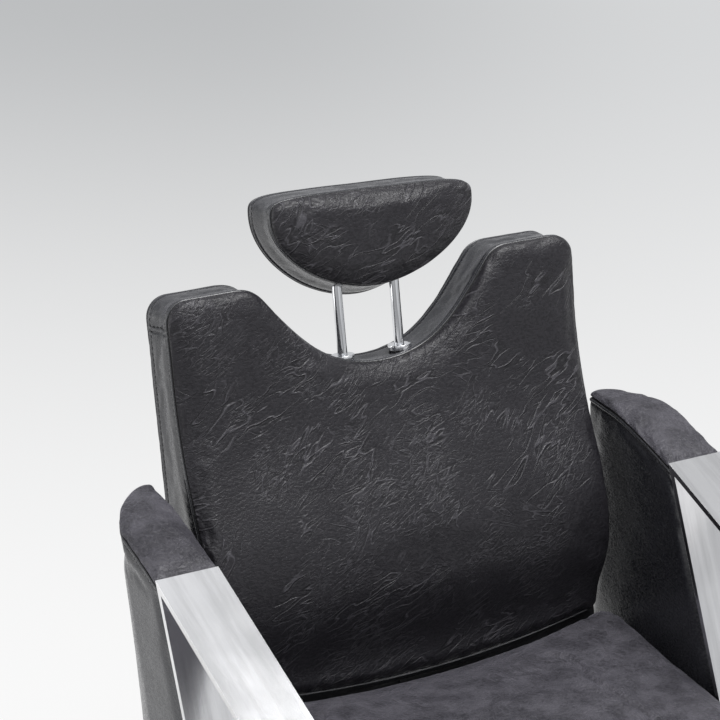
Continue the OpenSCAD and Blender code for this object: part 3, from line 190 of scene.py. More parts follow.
class Cover:
    """A sewn cover: a face panel, a boxing strip round its side, and a rear panel.

    outline(inset) gives the closed outline, top(p) and bottom(p) the depth of the two panels, and
    place(p, depth) the point in space, in millimetres. front and rear are rows of seams, pull is how
    far the boxing draws in at its middle, rear_hole is an outline and the depth of its floor, and
    cross holds the distances from the boxing's joints. Material 0 is the face, 1 the rest and 2 the
    seam's groove, coloured near black as painted shade in the groove.
    """

    def __init__(self, name, outline, top, bottom, place, front, rear, middle_step, grid, pull=0.0,
                 rear_grid=None, rear_hole=None, cross=()):
        self.name, self.place, self.cross = name, place, cross
        self.points, self.held, self.faces, self.face_zone = [], [], [], []
        self.rows = {}
        rows = [("front", *row) for row in front]
        first, last = front[-1][1], rear[-1][1]
        base = outline(0)
        span = np.max(bottom(base) - top(base)) - first - last
        count = max(2, int(round(span / middle_step)))
        rows += [("middle", i / count, 0, "middle") for i in range(1, count)]
        rows += [("rear", *row) for row in rear[::-1]]
        size = len(base)
        for index, (part, a, b, tag) in enumerate(rows):
            if part == "middle":
                p = outline(pull * math.sin(math.pi * a))
                upper, lower = top(p) + first, bottom(p) - last
                depth = upper + (lower - upper) * a
            else:
                p = outline(a)
                depth = top(p) + b if part == "front" else bottom(p) - b
            if tag in ("middle", "seam") and cross:
                p = p + inward_ways(p) * sum(cross_profile(d) for d in cross)[:, None]
            hold = 0.0 if tag in ("roll", "middle") else 1.0
            if index == 0:
                face_loop = p
            self.rows.setdefault((part, tag), []).append(len(self.points) // size)
            self.points += [place(q, d) for q, d in zip(p, depth)]
            self.held += [hold] * size
        for row, (above, below) in enumerate(zip(rows, rows[1:])):
            on_face = below[0] == "front" and below[3] in ("roll", "seam", "plain")
            on_face = on_face and above[3] in ("roll", "plain")
            # Zone 2 takes the near-black groove material: painted shade in the seam's groove.
            zone = 2 if "groove" in (above[3], below[3]) else 0 if on_face else 1
            for i in range(size):
                j = (i + 1) % size
                a, b = row * size, (row + 1) * size
                self.faces.append((a + i, a + j, b + j, b + i))
                self.face_zone.append(zone)
        self.size = size
        self.cap([face_loop], top, grid, 0, 0, 0.0)
        inner = [] if rear_hole is None else [rear_hole[0]]
        last_row = (len(rows) - 1) * size
        rim = self.cap([outline(rear[0][0])] + inner, bottom, rear_grid or grid, last_row, 1, 1.0)
        if rear_hole is not None:
            self.sink(rim, *rear_hole, rear_grid or grid)

    def cap(self, loops, surface, grid, start, zone, hold):
        """Closes the ring of points from start with a panel, and gives its first new point.

        The points of any inner loops come first among the new ones.
        """
        spots, faces = fill_cap(loops, grid)
        ring, first = len(loops[0]), len(self.points)
        added = np.vstack(loops[1:] + [spots])
        self.points += [self.place(q, d) for q, d in zip(added, surface(added))]
        self.held += [hold] * len(added)
        self.faces += [[start + i if i < ring else first + i - ring for i in face] for face in faces]
        self.face_zone += [zone] * len(faces)
        return first

    def sink(self, rim, loop, depth, grid):
        """A recess with upright sides, from the loop of points that starts at rim."""
        count, floor = len(loop), len(self.points)
        self.points += [self.place(q, depth) for q in loop]
        self.held += [1.0] * count
        for i in range(count):
            j = (i + 1) % count
            self.faces.append((rim + i, rim + j, floor + j, floor + i))
            self.face_zone.append(1)
        self.cap([loop], lambda p: np.full(len(p), depth), grid, floor, 1, 1.0)

    def build(self, materials):
        mesh = bpy.data.meshes.new(self.name)
        mesh.from_pydata([Vector(p) * MM for p in self.points], [], [list(f) for f in self.faces])
        for each in materials:
            mesh.materials.append(each)
        mesh.polygons.foreach_set("material_index", self.face_zone)
        mesh.polygons.foreach_set("use_smooth", [True] * len(mesh.polygons))
        shape = bmesh.new()
        shape.from_mesh(mesh)
        bmesh.ops.recalc_face_normals(shape, faces=shape.faces)
        shape.to_mesh(mesh)
        shape.free()
        self.piece = bpy.data.objects.new(self.name, mesh)
        scene.collection.objects.link(self.piece)
        group = self.piece.vertex_groups.new(name="held")
        fixed = [i for i, weight in enumerate(self.held) if weight > 0]
        group.add(fixed, 1.0, "REPLACE")
        return self.piece

    def read(self, ids):
        """Points and outward directions of some of the built mesh's points, in metres."""
        found = [self.piece.data.vertices[i] for i in ids]
        return np.array([v.co for v in found]), np.array([v.normal for v in found])

    def row_path(self, part):
        """The row of stitches round the front or rear."""
        row = self.rows[(part, "stitch")][0]
        return self.read(range(row * self.size, (row + 1) * self.size))

    def column_path(self, distances):
        """The line of stitches down the boxing beside a joint."""
        column = int(np.argmin(np.abs(distances - CROSS_STITCHES)))
        rows = self.rows[("front", "seam")][-1:] + self.rows[("middle", "middle")]
        rows += self.rows[("rear", "seam")][:1]
        return self.read([row * self.size + column for row in rows])


# Cloth: the leather is blown out between its held seams, then left as plain mesh

SIM_FRAMES = 14


def add_cloth(piece, pressure, slack):
    cloth = piece.modifiers.new("puff", "CLOTH")
    settings = cloth.settings
    settings.quality = 5
    settings.mass = 0.3
    settings.tension_stiffness = settings.compression_stiffness = 15
    settings.shear_stiffness = 8
    settings.bending_stiffness = 0.4
    settings.use_pressure = True
    settings.uniform_pressure_force = pressure
    settings.shrink_min = -slack
    settings.vertex_group_mass = "held"
    settings.effector_weights.gravity = 0
    cloth.collision_settings.use_collision = False
    cloth.point_cache.frame_start = 1
    cloth.point_cache.frame_end = SIM_FRAMES


def read_points(mesh):
    found = np.zeros(len(mesh.vertices) * 3)
    mesh.vertices.foreach_get("co", found)
    return found.reshape(-1, 3)


def settle(puffed):
    """Steps all the cloth together and keeps each result, no point further than its cap."""
    for piece, pressure, slack, _ in puffed:
        add_cloth(piece, pressure, slack)
    for step in range(1, SIM_FRAMES + 1):
        scene.frame_set(step)
    graph = bpy.context.evaluated_depsgraph_get()
    blown = [read_points(piece.evaluated_get(graph).to_mesh()) for piece, *_ in puffed]
    for (piece, _, _, cap), after in zip(puffed, blown):
        before = read_points(piece.data)
        moved = after - before
        length = np.linalg.norm(moved, axis=1)
        moved *= (np.minimum(length, cap * MM) / np.maximum(length, 1e-9))[:, None]
        piece.modifiers.clear()
        piece.data.vertices.foreach_set("co", (before + moved).ravel())
        piece.data.update()
    scene.frame_set(1)
    for piece, *_ in puffed:
        smooth_once(piece)


def smooth_once(piece):
    """One subdivision, applied."""
    modifier = piece.modifiers.new("finer", "SUBSURF")
    modifier.levels = modifier.render_levels = 1
    graph = bpy.context.evaluated_depsgraph_get()
    finer = bpy.data.meshes.new_from_object(piece.evaluated_get(graph))
    piece.modifiers.clear()
    old = piece.data
    piece.data = finer
    finer.name = piece.name
    bpy.data.meshes.remove(old)


def crumple(piece, strength):
    """Moves the points of a fine mesh in and out by strength(point), in millimetres."""
    mesh = piece.data
    places = read_points(mesh)
    normals = np.zeros(len(places) * 3)
    mesh.vertices.foreach_get("normal", normals)
    moves = np.array([strength(Vector(place)) for place in places]) * MM
    mesh.vertices.foreach_set("co", (places + normals.reshape(-1, 3) * moves[:, None]).ravel())
    mesh.update()


# Threads

THREAD_THICK, THREAD_LIFT = 1.3, 0.4


def stitches(name, paths, long, gap):
    """Short rounded stitches along paths of points and outward directions, with lengths in millimetres."""
    sides, rings = 5, 4
    rise = THREAD_LIFT * MM * np.array([-0.4, 1.0, 1.0, -0.4])
    width = THREAD_THICK * MM / 2 * np.array([0.7, 1.0, 1.0, 0.7])
    vertices, faces = [], []
    for points, normals, closed in paths:
        if closed:
            points, normals = np.vstack([points, points[:1]]), np.vstack([normals, normals[:1]])
        steps = np.linalg.norm(np.diff(points, axis=0), axis=1)
        run = np.concatenate([[0], np.cumsum(steps)])
        count = int(run[-1] // ((long + gap) * MM))
        pitch = run[-1] / count
        for index in range(count):
            start = index * pitch + gap * MM / 2
            places = np.linspace(start, start + pitch - gap * MM, rings)
            centre = np.column_stack([np.interp(places, run, points[:, k]) for k in range(3)])
            out = np.column_stack([np.interp(places, run, normals[:, k]) for k in range(3)])
            out /= np.linalg.norm(out, axis=1)[:, None]
            centre += out * rise[:, None]
            along = centre[-1] - centre[0]
            along /= np.linalg.norm(along)
            base = len(vertices)
            for k in range(rings):
                side = np.cross(along, out[k])
                for s in range(sides):
                    a = 2 * math.pi * s / sides
                    vertices.append(centre[k] + (side * math.cos(a) + out[k] * math.sin(a)) * width[k])
            for k in range(rings - 1):
                for s in range(sides):
                    t = (s + 1) % sides
                    a, b = base + k * sides, base + (k + 1) * sides
                    faces.append((a + s, a + t, b + t, b + s))
            faces.append([base + s for s in range(sides)][::-1])
            faces.append([base + (rings - 1) * sides + s for s in range(sides)])
    return mesh_piece(name, vertices, faces, thread)


def mesh_piece(name, vertices, faces, material):
    mesh = bpy.data.meshes.new(name)
    mesh.from_pydata([Vector(v) for v in vertices], [], faces)
    mesh.materials.append(material)
    mesh.polygons.foreach_set("use_smooth", [True] * len(mesh.polygons))
    mesh.update()
    piece = bpy.data.objects.new(name, mesh)
    scene.collection.objects.link(piece)
    return piece


# Materials

class Graph:
    """A short way to write a material's nodes."""

    def __init__(self, name):
        self.material = bpy.data.materials.new(name)
        self.material.use_nodes = True
        self.tree = self.material.node_tree
        self.shader = self.tree.nodes["Principled BSDF"]
        self.place = self.add("ShaderNodeTexCoord").outputs["Object"]

    def add(self, kind, inputs=None, **settings):
        made = self.tree.nodes.new(kind)
        for key, value in settings.items():
            setattr(made, key, value)
        for key, value in (inputs or {}).items():
            self.feed(made.inputs[key], value)
        return made

    def feed(self, socket, value):
        if isinstance(value, bpy.types.NodeSocket):
            self.tree.links.new(value, socket)
        else:
            socket.default_value = value

    def math(self, operation, a, b=0.0):
        return self.add("ShaderNodeMath", {0: a, 1: b}, operation=operation).outputs[0]

    def noise(self, scale, detail=2.0, rough=0.5, vector=None, output="Fac"):
        inputs = {"Vector": vector or self.place, "Scale": scale, "Detail": detail, "Roughness": rough}
        return self.add("ShaderNodeTexNoise", inputs).outputs[output]

    def ramp(self, value, low, high, start=0.0, end=1.0):
        inputs = {"Value": value, "From Min": low, "From Max": high, "To Min": start, "To Max": end}
        made = self.add("ShaderNodeMapRange", inputs, interpolation_type="SMOOTHSTEP")
        return made.outputs["Result"]

    def stretch(self, scale):
        return self.add("ShaderNodeMapping", {"Vector": self.place, "Scale": scale}).outputs[0]

    def warp(self, scale, amount):
        """The place, pushed about by noise of a given scale."""
        shake = self.noise(scale, 3.0, output="Color")
        centred = self.add("ShaderNodeVectorMath", {0: shake, 1: (0.5, 0.5, 0.5)}, operation="SUBTRACT")
        scaled = self.add("ShaderNodeVectorMath", {0: centred.outputs[0], "Scale": amount}, operation="SCALE")
        moved = self.add("ShaderNodeVectorMath", {0: self.place, 1: scaled.outputs[0]}, operation="ADD")
        return moved.outputs[0]

    def mix(self, factor, a, b):
        made = self.add("ShaderNodeMix", data_type="RGBA")
        self.feed(made.inputs[0], factor)
        self.feed(made.inputs[6], a)
        self.feed(made.inputs[7], b)
        return made.outputs[2]

    def bump(self, height, distance):
        made = self.add("ShaderNodeBump", {"Height": height, "Distance": distance, "Strength": 1.0})
        self.feed(self.shader.inputs["Normal"], made.outputs[0])

    def set(self, **values):
        for key, value in values.items():
            self.feed(self.shader.inputs[key.replace("_", " ")], value)


def rgb(red, green, blue):
    return (red, green, blue, 1.0)


# Sets of creases: direction from level in radians, stretch, scale, half width in millimetres, then
# the patches that they show in: scale, from, to and weight
CREASES = (
    (0.60, 5.0, 15.0, 0.36, 9.0, 0.52, 0.62, 0.9),
    (0.35, 4.6, 24.0, 0.34, 12.0, 0.52, 0.62, 0.8),
    (0.95, 4.0, 28.0, 0.34, 13.0, 0.54, 0.64, 0.75),
    (-0.35, 4.0, 32.0, 0.32, 15.0, 0.57, 0.66, 0.5),
    (0.50, 3.6, 62.0, 0.30, 16.0, 0.46, 0.64, 0.45),
)


LEATHER_RELIEF = 0.00065
PEBBLE_SCALE, SWELL_SCALE, CLOUD_SCALE = 250.0, 42.0, 13.0
PEBBLE_HEIGHT, SWELL_HEIGHT, VALLEY_DEPTH = 0.34, 0.7, 0.6
# The first colour is the near-black painted shade in the creases' valleys.
VALLEY_SHADE, SHEEN_TINT = rgb(0.004, 0.004, 0.005), rgb(0.72, 0.70, 0.82)


def leather(name, dark, light, crease, rough, size=1.0, sheen=0.0, cloud=0.35, grain=1.0, shine=0.42):
    """Leatherette: crease ridges, raised in the bump and painted lighter as a highlight, with valleys beside
    them, sunk in the bump and painted darker as shade, in patches, on a pebbled grain.

    crease, cloud and grain weigh the creases, the pale clouds and the pebbles, and size scales them.
    """
    g = Graph(name)
    moved = g.warp(26.0, 0.008)
    lines, valleys = 0.0, 0.0
    for turn, stretch, scale, half_width, patch, low, high, weight in CREASES:
        setting = {"Vector": moved, "Rotation": (0, -turn, 0), "Scale": (1, 1, 1 / stretch)}
        along = g.add("ShaderNodeMapping", setting, vector_type="TEXTURE").outputs[0]
        wave = g.math("SUBTRACT", g.noise(scale * size, 0.8, 0.5, along), 0.5)
        width = half_width * MM * scale * size * stretch * 0.8
        mask = g.ramp(g.noise(patch, 2.0, vector=moved), low, high, 0.0, weight)
        ridge = g.ramp(g.math("ABSOLUTE", wave), 0.0, width, 1.0, 0.0)
        valley = g.ramp(g.math("ABSOLUTE", g.math("ADD", wave, width * 1.7)), 0.0, width * 1.3, 1.0, 0.0)
        lines = g.math("MAXIMUM", lines, g.math("MULTIPLY", ridge, mask))
        valleys = g.math("MAXIMUM", valleys, g.math("MULTIPLY", valley, mask))
    lines = g.math("MULTIPLY", lines, crease)
    valleys = g.math("MULTIPLY", valleys, crease)
    pebble = g.ramp(g.noise(PEBBLE_SCALE, 3.0, 0.6, g.stretch((1.0, 1.0, 1.5))), 0.36, 0.64)
    swell = g.noise(SWELL_SCALE * size, 3.0)
    valleys = g.math("MULTIPLY", valleys, VALLEY_DEPTH)
    height = g.math("SUBTRACT", lines, valleys)
    height = g.math("ADD", height, g.math("MULTIPLY", pebble, PEBBLE_HEIGHT * grain))
    height = g.math("ADD", height, g.math("MULTIPLY", swell, SWELL_HEIGHT))
    g.bump(height, LEATHER_RELIEF)
    patches = g.ramp(g.noise(CLOUD_SCALE * size, 4.0, 0.6), 0.36, 0.68, 0.0, cloud)
    base = g.mix(patches, dark, light)
    # Painted highlight: the crease ridges go towards the light colour, with the pebbles' own lighter tone;
    # painted shade: the valleys go towards near black.
    ridge_highlight_and_grain = g.math("ADD", g.math("MULTIPLY", lines, 0.55), g.math("MULTIPLY", pebble, 0.10 * grain))
    g.set(Base_Color=g.mix(valleys, g.mix(ridge_highlight_and_grain, base, light), VALLEY_SHADE))
    g.set(Roughness=g.ramp(pebble, 0.0, 1.0, rough + 0.08, rough - 0.06))
    g.set(Specular_IOR_Level=shine, Sheen_Weight=sheen, Sheen_Roughness=0.4, Sheen_Tint=SHEEN_TINT)
    return g.material


def brushed(name, base, rough, streak=(900.0, 14.0, 14.0), depth=0.00004, tone=0.3):
    """Polished steel with a fine brushed grain, broader streaks and faint handling marks."""
    g = Graph(name)
    fine = g.noise(1.0, 4.0, 0.65, g.stretch(streak))
    broad = g.noise(1.0, 3.0, 0.6, g.stretch((streak[0] * 0.08, 5.0, 5.0)))
    smear = g.noise(11.0, 3.0)
    dull = tuple(c * (1 - tone) for c in base[:3]) + (1.0,)
    wear = g.ramp(g.math("ADD", g.math("MULTIPLY", broad, 0.7), g.math("MULTIPLY", smear, 0.3)), 0.36, 0.64)
    g.set(Base_Color=g.mix(wear, base, dull), Metallic=1.0)
    coarse = g.ramp(smear, 0.35, 0.75, rough * 0.8, rough * 1.3)
    g.set(Roughness=g.math("ADD", coarse, g.math("MULTIPLY", fine, rough * 0.5)))
    g.bump(fine, depth)
    return g.material


def coated(name, base, rough, grain, depth, metal=0.0):
    """Powder coat, cast iron, rubber or plastic: a base colour with mottling and a grain."""
    g = Graph(name)
    mottle = g.noise(24.0, 4.0)
    pores = g.noise(grain, 3.0, 0.6)
    lighter = tuple(min(1.0, c * 1.7 + 0.01) for c in base[:3]) + (1.0,)
    g.set(Base_Color=g.mix(g.math("MULTIPLY", mottle, 0.3), base, lighter), Metallic=metal)
    g.set(Roughness=g.ramp(mottle, 0.2, 0.8, rough - 0.06, rough + 0.1))
    g.bump(pores, depth)
    return g.material


def plywood(name):
    """Stacked light and darker veneers with a fine fibre."""
    g = Graph(name)
    rings = g.noise(1.0, 4.0, 0.6, g.stretch((12.0, 160.0, 420.0)))
    fibre = g.noise(1.0, 3.0, 0.6, g.stretch((40.0, 900.0, 900.0)))
    tone = g.mix(g.ramp(rings, 0.3, 0.7), rgb(0.52, 0.36, 0.2), rgb(0.72, 0.56, 0.36))
    g.set(Base_Color=g.mix(g.math("MULTIPLY", fibre, 0.35), tone, rgb(0.4, 0.27, 0.15)),
          Roughness=g.ramp(rings, 0.2, 0.8, 0.55, 0.72))
    g.bump(fibre, 0.0002)
    return g.material


face_leather = leather(
    "face_leather", rgb(0.0150, 0.0140, 0.0175), rgb(0.17, 0.165, 0.185),
    crease=0.9, rough=0.36, cloud=0.04, shine=0.34)
side_leather = leather(
    "side_leather", rgb(0.021, 0.022, 0.027), rgb(0.14, 0.14, 0.16),
    crease=0.10, rough=0.25, size=1.3, sheen=0.1, cloud=0.1, grain=0.3, shine=0.8)
# Near black on the seam's groove faces: painted shade in the groove.
seam_leather = leather(
    "seam_leather", rgb(0.003, 0.003, 0.0035), rgb(0.012, 0.012, 0.014), crease=0.2, rough=0.7)
seat_leather = leather(
    "seat_leather", rgb(0.022, 0.021, 0.027), rgb(0.17, 0.163, 0.19),
    crease=0.6, rough=0.52, size=2.6, sheen=0.45, cloud=0.45, grain=2.2)
arm_leather = leather(
    "arm_leather", rgb(0.022, 0.021, 0.027), rgb(0.16, 0.154, 0.18),
    crease=0.5, rough=0.46, size=1.8, sheen=0.35, cloud=0.55, grain=1.8)
rear_vinyl = leather(
    "rear_vinyl", rgb(0.017, 0.017, 0.019), rgb(0.07, 0.07, 0.078), crease=0.15, rough=0.52)
# Light grey piping along the back's lower edge: a painted highlight on the seam there.
piping_highlight = leather(
    "piping_highlight", rgb(0.10, 0.10, 0.108), rgb(0.26, 0.26, 0.27), crease=0.2, rough=0.4)
thread = coated("thread", rgb(0.006, 0.006, 0.007), 0.5, 3000.0, 0.0002)
finishes = {
    "leather": side_leather,
    "back_vinyl": rear_vinyl,
    "polished_steel": brushed("polished_steel", rgb(0.90, 0.90, 0.91), 0.15, tone=0.2),
    "chrome": brushed("chrome", rgb(0.83, 0.84, 0.86), 0.07, (60.0, 60.0, 60.0), 0.00001, 0.1),
    "black_steel": coated("black_steel", rgb(0.016, 0.016, 0.018), 0.42, 900.0, 0.0001),
    "dark_iron": coated("dark_iron", rgb(0.03, 0.03, 0.032), 0.6, 420.0, 0.0004),
    "zinc_steel": coated("zinc_steel", rgb(0.62, 0.63, 0.65), 0.32, 700.0, 0.00005, 1.0),
    "bronze": coated("bronze", rgb(0.5, 0.31, 0.13), 0.34, 500.0, 0.00005, 1.0),
    "rubber": coated("rubber", rgb(0.018, 0.018, 0.019), 0.7, 800.0, 0.0002),
    "black_plastic": coated("black_plastic", rgb(0.02, 0.02, 0.022), 0.45, 700.0, 0.0001),
    "plywood": plywood("plywood"),
}


# The backrest

BACK_BASE = np.array([0.0, 293.0, 826.0])
BACK_DEEP = np.array([0.0, 0.97155, -0.23684])
BACK_UP = np.array([0.0, 0.23684, 0.97155])
BACK_MIDDLE = np.array([0.0, -124.2])
BACK_HALF, BACK_LOW, BACK_HIGH, BACK_THICK, BACK_CROWN = 250, -345, 96, 67.0, 6
LOW_CORNER, HIGH_CORNER, BACK_SAG = 12, 24, 22
JOINT_HEIGHT = 58
LUMBAR_TOP, LUMBAR_MIDDLE, LUMBAR_RISE = 50, -212.9, 39
RECESS_HALF, RECESS_LOW, RECESS_HIGH, RECESS_CORNER, RECESS_FLOOR = 215, -323, -38, 30, 50.0
PANEL_GAP, PANEL_THICK, PANEL_CROWN = 0.3, 9.0, 2.2
PIPING_RADIUS, PIPING_RISE, PIPING_DEPTH = 0.9, 0.8, 5.5


def in_back(p, depth):
    """A place on the back, across and up from its base point and towards its rear."""
    return BACK_BASE + np.array([p[0], 0, 0]) + BACK_UP * p[1] + BACK_DEEP * depth


def lower_edge(across):
    """The back's lower edge, which sags at its middle."""
    return BACK_LOW - BACK_SAG * (1 - (across / (BACK_HALF - LOW_CORNER)) ** 2)


def back_shape():
    low, high = BACK_LOW + LOW_CORNER, BACK_HIGH - HIGH_CORNER
    across = np.linspace(0, BACK_HALF - LOW_CORNER, 60, endpoint=False)
    half = np.vstack([
        np.column_stack([across, lower_edge(across)]),
        arc((BACK_HALF - LOW_CORNER, low), LOW_CORNER, -90, 0, 12),
        line((BACK_HALF, low), (BACK_HALF, high), 100),
        arc((BACK_HALF - HIGH_CORNER, high), HIGH_CORNER, 0, 90, 24),
        line((BACK_HALF - HIGH_CORNER, BACK_HIGH), (170, BACK_HIGH), 14),
        bezier([(170, 96), (150.06, 96), (139.95, 83.95)], 16),
        bezier([(139.95, 83.95), (97.97, 33.93), (69.98, -7), (0, -7)], 60)])
    other = half[1:-1][::-1] * np.array([-1, 1])
    return np.vstack([half, other])


back_joints = [((-BACK_HALF, JOINT_HEIGHT), -1), ((BACK_HALF, JOINT_HEIGHT), 1)]
back_loop, back_marks = resample(back_shape(), 5.0, back_joints)
back_inward = inward_ways(back_loop)
polar = back_loop - BACK_MIDDLE
back_angles = np.arctan2(polar[:, 1], polar[:, 0])
back_order = np.argsort(back_angles)
back_reach = np.linalg.norm(polar, axis=1)[back_order]
back_angles = back_angles[back_order]


def back_outline(inset):
    return back_loop + back_inward * inset


def lumbar(s):
    """How far the face stands forward at a height, most at the small of the back."""
    above = np.clip((LUMBAR_TOP - s) / (LUMBAR_TOP - LUMBAR_MIDDLE), 0, 1)
    below = np.clip((LUMBAR_MIDDLE - s) / (LUMBAR_MIDDLE - BACK_LOW), 0, 1)
    rising, falling = np.sin(np.pi / 2 * above ** 1.6) ** 2, np.cos(np.pi / 2 * below ** 1.3) ** 2
    return LUMBAR_RISE * np.where(s > LUMBAR_MIDDLE, rising, falling)


def back_top(p):
    away = p - BACK_MIDDLE
    reach = np.interp(np.arctan2(away[:, 1], away[:, 0]), back_angles, back_reach, period=2 * math.pi)
    share = np.clip(np.linalg.norm(away, axis=1) / reach, 0, 1)
    return -lumbar(p[:, 1]) - BACK_CROWN * (1 - share ** 2)


def level(depth):
    """The top or bottom of a cover that is flat, at one depth."""
    return lambda p: np.full(len(p), depth)


def rounded_box(x, low, high, radius, steps, spacing):
    shape = np.vstack([
        line((-x + radius, low), (x - radius, low), 20),
        arc((x - radius, low + radius), radius, -90, 0, steps),
        arc((x - radius, high - radius), radius, 0, 90, steps),
        arc((-x + radius, high - radius), radius, 90, 180, steps),
        arc((-x + radius, low + radius), radius, 180, 270, steps)])
    keep = np.linalg.norm(shape - np.roll(shape, 1, 0), axis=1) > 0.01
    return resample(shape[keep], spacing)[0]


recess = rounded_box(RECESS_HALF, RECESS_LOW, RECESS_HIGH, RECESS_CORNER, 8, 14)
back_cover = Cover(
    "back_cover", back_outline, back_top, level(BACK_THICK), in_back,
    front=seam_rows(8, 7), rear=seam_rows(5, 4), middle_step=6, grid=6.0, pull=3,
    rear_grid=22, rear_hole=(recess, RECESS_FLOOR), cross=back_marks)
back_piece = back_cover.build([face_leather, side_leather, seam_leather])


def vinyl_sheet(name, loop, base, top, bottom, front, rear, middle_step):
    """A vinyl panel on the back, whose depths count towards the front from a base depth."""
    inward = inward_ways(loop)
    cover = Cover(
        name, lambda inset: loop + inward * inset, top, bottom, lambda p, d: in_back(p, base - d),
        front, rear, middle_step, grid=14)
    return cover.build([rear_vinyl, rear_vinyl])


panel_loop = rounded_box(
    RECESS_HALF - PANEL_GAP, RECESS_LOW + PANEL_GAP, RECESS_HIGH - PANEL_GAP, RECESS_CORNER, 8, 8)
apron_loop = rounded_box(234.7, -399, -293, 20, 8, 6)
strip_loop = rounded_box(255, -377, -336, 6, 4, 6)


def panel_top(p):
    return -PANEL_THICK - PANEL_CROWN * np.clip(nearest(p, panel_loop) / 40, 0, 1) ** 0.6


thin_front, thin_rear = plain_rows(1.2, 4), plain_rows(0.8, 3)
panel_piece = vinyl_sheet(
    "rear_panel", panel_loop, 62.0, panel_top, level(-0.1), plain_rows(3, 5), plain_rows(1, 2), 4)
apron_piece = vinyl_sheet(
    "rear_apron", apron_loop, 67.4, level(-3.2), level(0.0), thin_front, thin_rear, 1)
# This one is stiff and hides the crease behind the seat, with the piping over it, whose light grey is a
# painted highlight along the back's lower edge
strip_piece = vinyl_sheet(
    "crease_strip", strip_loop, 20.2, level(-3.0), level(0.0), plain_rows(1.0, 4), thin_rear, 1)


def piping(name, points, radius):
    """A thin round cord sewn along a line of points, in millimetres, coloured light grey as a painted
    highlight.
    """
    sides = 8
    along = np.gradient(points, axis=0)
    along /= np.linalg.norm(along, axis=1)[:, None]
    across = np.cross(along, BACK_DEEP)
    across /= np.linalg.norm(across, axis=1)[:, None]
    out = np.cross(across, along)
    turns = 2 * math.pi * np.arange(sides) / sides
    rings = [p + radius * (np.outer(np.cos(turns), a) + np.outer(np.sin(turns), o))
             for p, a, o in zip(points, across, out)]
    last = (len(points) - 1) * sides
    faces = []
    for a in range(0, last, sides):
        b = a + sides
        for s in range(sides):
            t = (s + 1) % sides
            faces.append((a + s, a + t, b + t, b + s))
    faces += [list(range(sides))[::-1], [last + s for s in range(sides)]]
    return mesh_piece(name, np.vstack(rings) * MM, faces, piping_highlight)


# The piping's light grey is a painted highlight along the back's lower edge.
piping_x = np.linspace(-236, 236, 90)
piping_line = np.array([in_back((x, lower_edge(x) + PIPING_RISE), PIPING_DEPTH) for x in piping_x])
highlight_piping_piece = piping("crease_highlight_piping", piping_line, PIPING_RADIUS)


# The head pad

HEAD_HALF, HEAD_RISE, HEAD_DROP, HEAD_FLARE = 122.5, 23.0, 80.0, 21.0
HEAD_HEIGHT, HEAD_FRONT, HEAD_REAR, HEAD_CROWN = 160, -5, 62.0, 7
HEAD_POWER_UP, HEAD_POWER_DOWN = 5.0, 1.8
HEAD_ROLL = math.radians(2)


def head_curve(angles, inset):
    """Half a rounded bar above and half a bowl below, as one closed outline."""
    upper = np.sin(angles) > 0
    power = np.where(upper, HEAD_POWER_UP, HEAD_POWER_DOWN)
    height = np.where(upper, HEAD_RISE, HEAD_DROP) - inset
    across = np.sign(np.cos(angles)) * np.abs(np.cos(angles)) ** (2 / power)
    along = np.sign(np.sin(angles)) * np.abs(np.sin(angles)) ** (2 / power)
    return np.column_stack([(HEAD_HALF - inset) * across, height * along])


def even_angles(spacing):
    """Angles that give even points round the head's outline."""
    dense = np.linspace(-math.pi / 2, 1.5 * math.pi, 6001)
    curve = head_curve(dense, 0)
    run = np.concatenate([[0], np.cumsum(np.linalg.norm(np.diff(curve, axis=0), axis=1))])
    count = int(run[-1] / spacing)
    return np.interp(np.linspace(0, run[-1], count, endpoint=False), run, dense)


head_angles = even_angles(3.6)


def head_top(p):
    power = np.where(p[:, 1] > 0, HEAD_POWER_UP, HEAD_POWER_DOWN)
    height = np.where(p[:, 1] > 0, HEAD_RISE, HEAD_DROP)
    share = (np.abs(p[:, 0] / HEAD_HALF) ** power + np.abs(p[:, 1] / height) ** power) ** (1 / power)
    return HEAD_FRONT - HEAD_CROWN * (1 - np.clip(share, 0, 1) ** 2)


def in_head(p, depth):
    """A place on the head pad, whose lower half widens towards the rear, turned a little."""
    x, s = p
    if s < 0:
        share = (depth - HEAD_FRONT) / (HEAD_REAR - HEAD_FRONT)
        s *= 1 + HEAD_FLARE / HEAD_DROP * min(1, max(0, share))
    across = x * math.cos(HEAD_ROLL) + s * math.sin(HEAD_ROLL)
    up = s * math.cos(HEAD_ROLL) - x * math.sin(HEAD_ROLL)
    return in_back((across, HEAD_HEIGHT + up), depth)


head_cover = Cover(
    "head_cover", lambda inset: head_curve(head_angles, inset), head_top, level(HEAD_REAR), in_head,
    front=seam_rows(7, 7), rear=seam_rows(5, 5), middle_step=4, grid=4.2, pull=2)
head_piece = head_cover.build([face_leather, side_leather, seam_leather])


# The seat

SEAT_HALF, SEAT_FRONT, SEAT_REAR, SEAT_TOP, SEAT_THICK = 273.0, -245.0, 222.0, 490.0, 100.0
SEAT_CORNER, SEAT_CORNER_LEAST = 34, 8
SEAT_CROWN, CROWN_HALF, CROWN_REACH = 9, 276, 0.86
DISH_DEPTH, DISH_RUN, DISH_HALF = 25, 160, 252


def seat_outline(inset):
    radius = max(SEAT_CORNER - inset, SEAT_CORNER_LEAST)
    x, low, high = SEAT_HALF - inset, SEAT_FRONT + inset, SEAT_REAR - inset
    return np.vstack([
        line((-x + radius, low), (x - radius, low), 72),
        arc((x - radius, low + radius), radius, -90, 0, 14)[:-1],
        line((x, low + radius), (x, high - radius), 58),
        arc((x - radius, high - radius), radius, 0, 90, 14)[:-1],
        line((x - radius, high), (-x + radius, high), 72),
        arc((-x + radius, high - radius), radius, 90, 180, 14)[:-1],
        line((-x, high - radius), (-x, low + radius), 58),
        arc((-x + radius, low + radius), radius, 180, 270, 14)[:-1]])


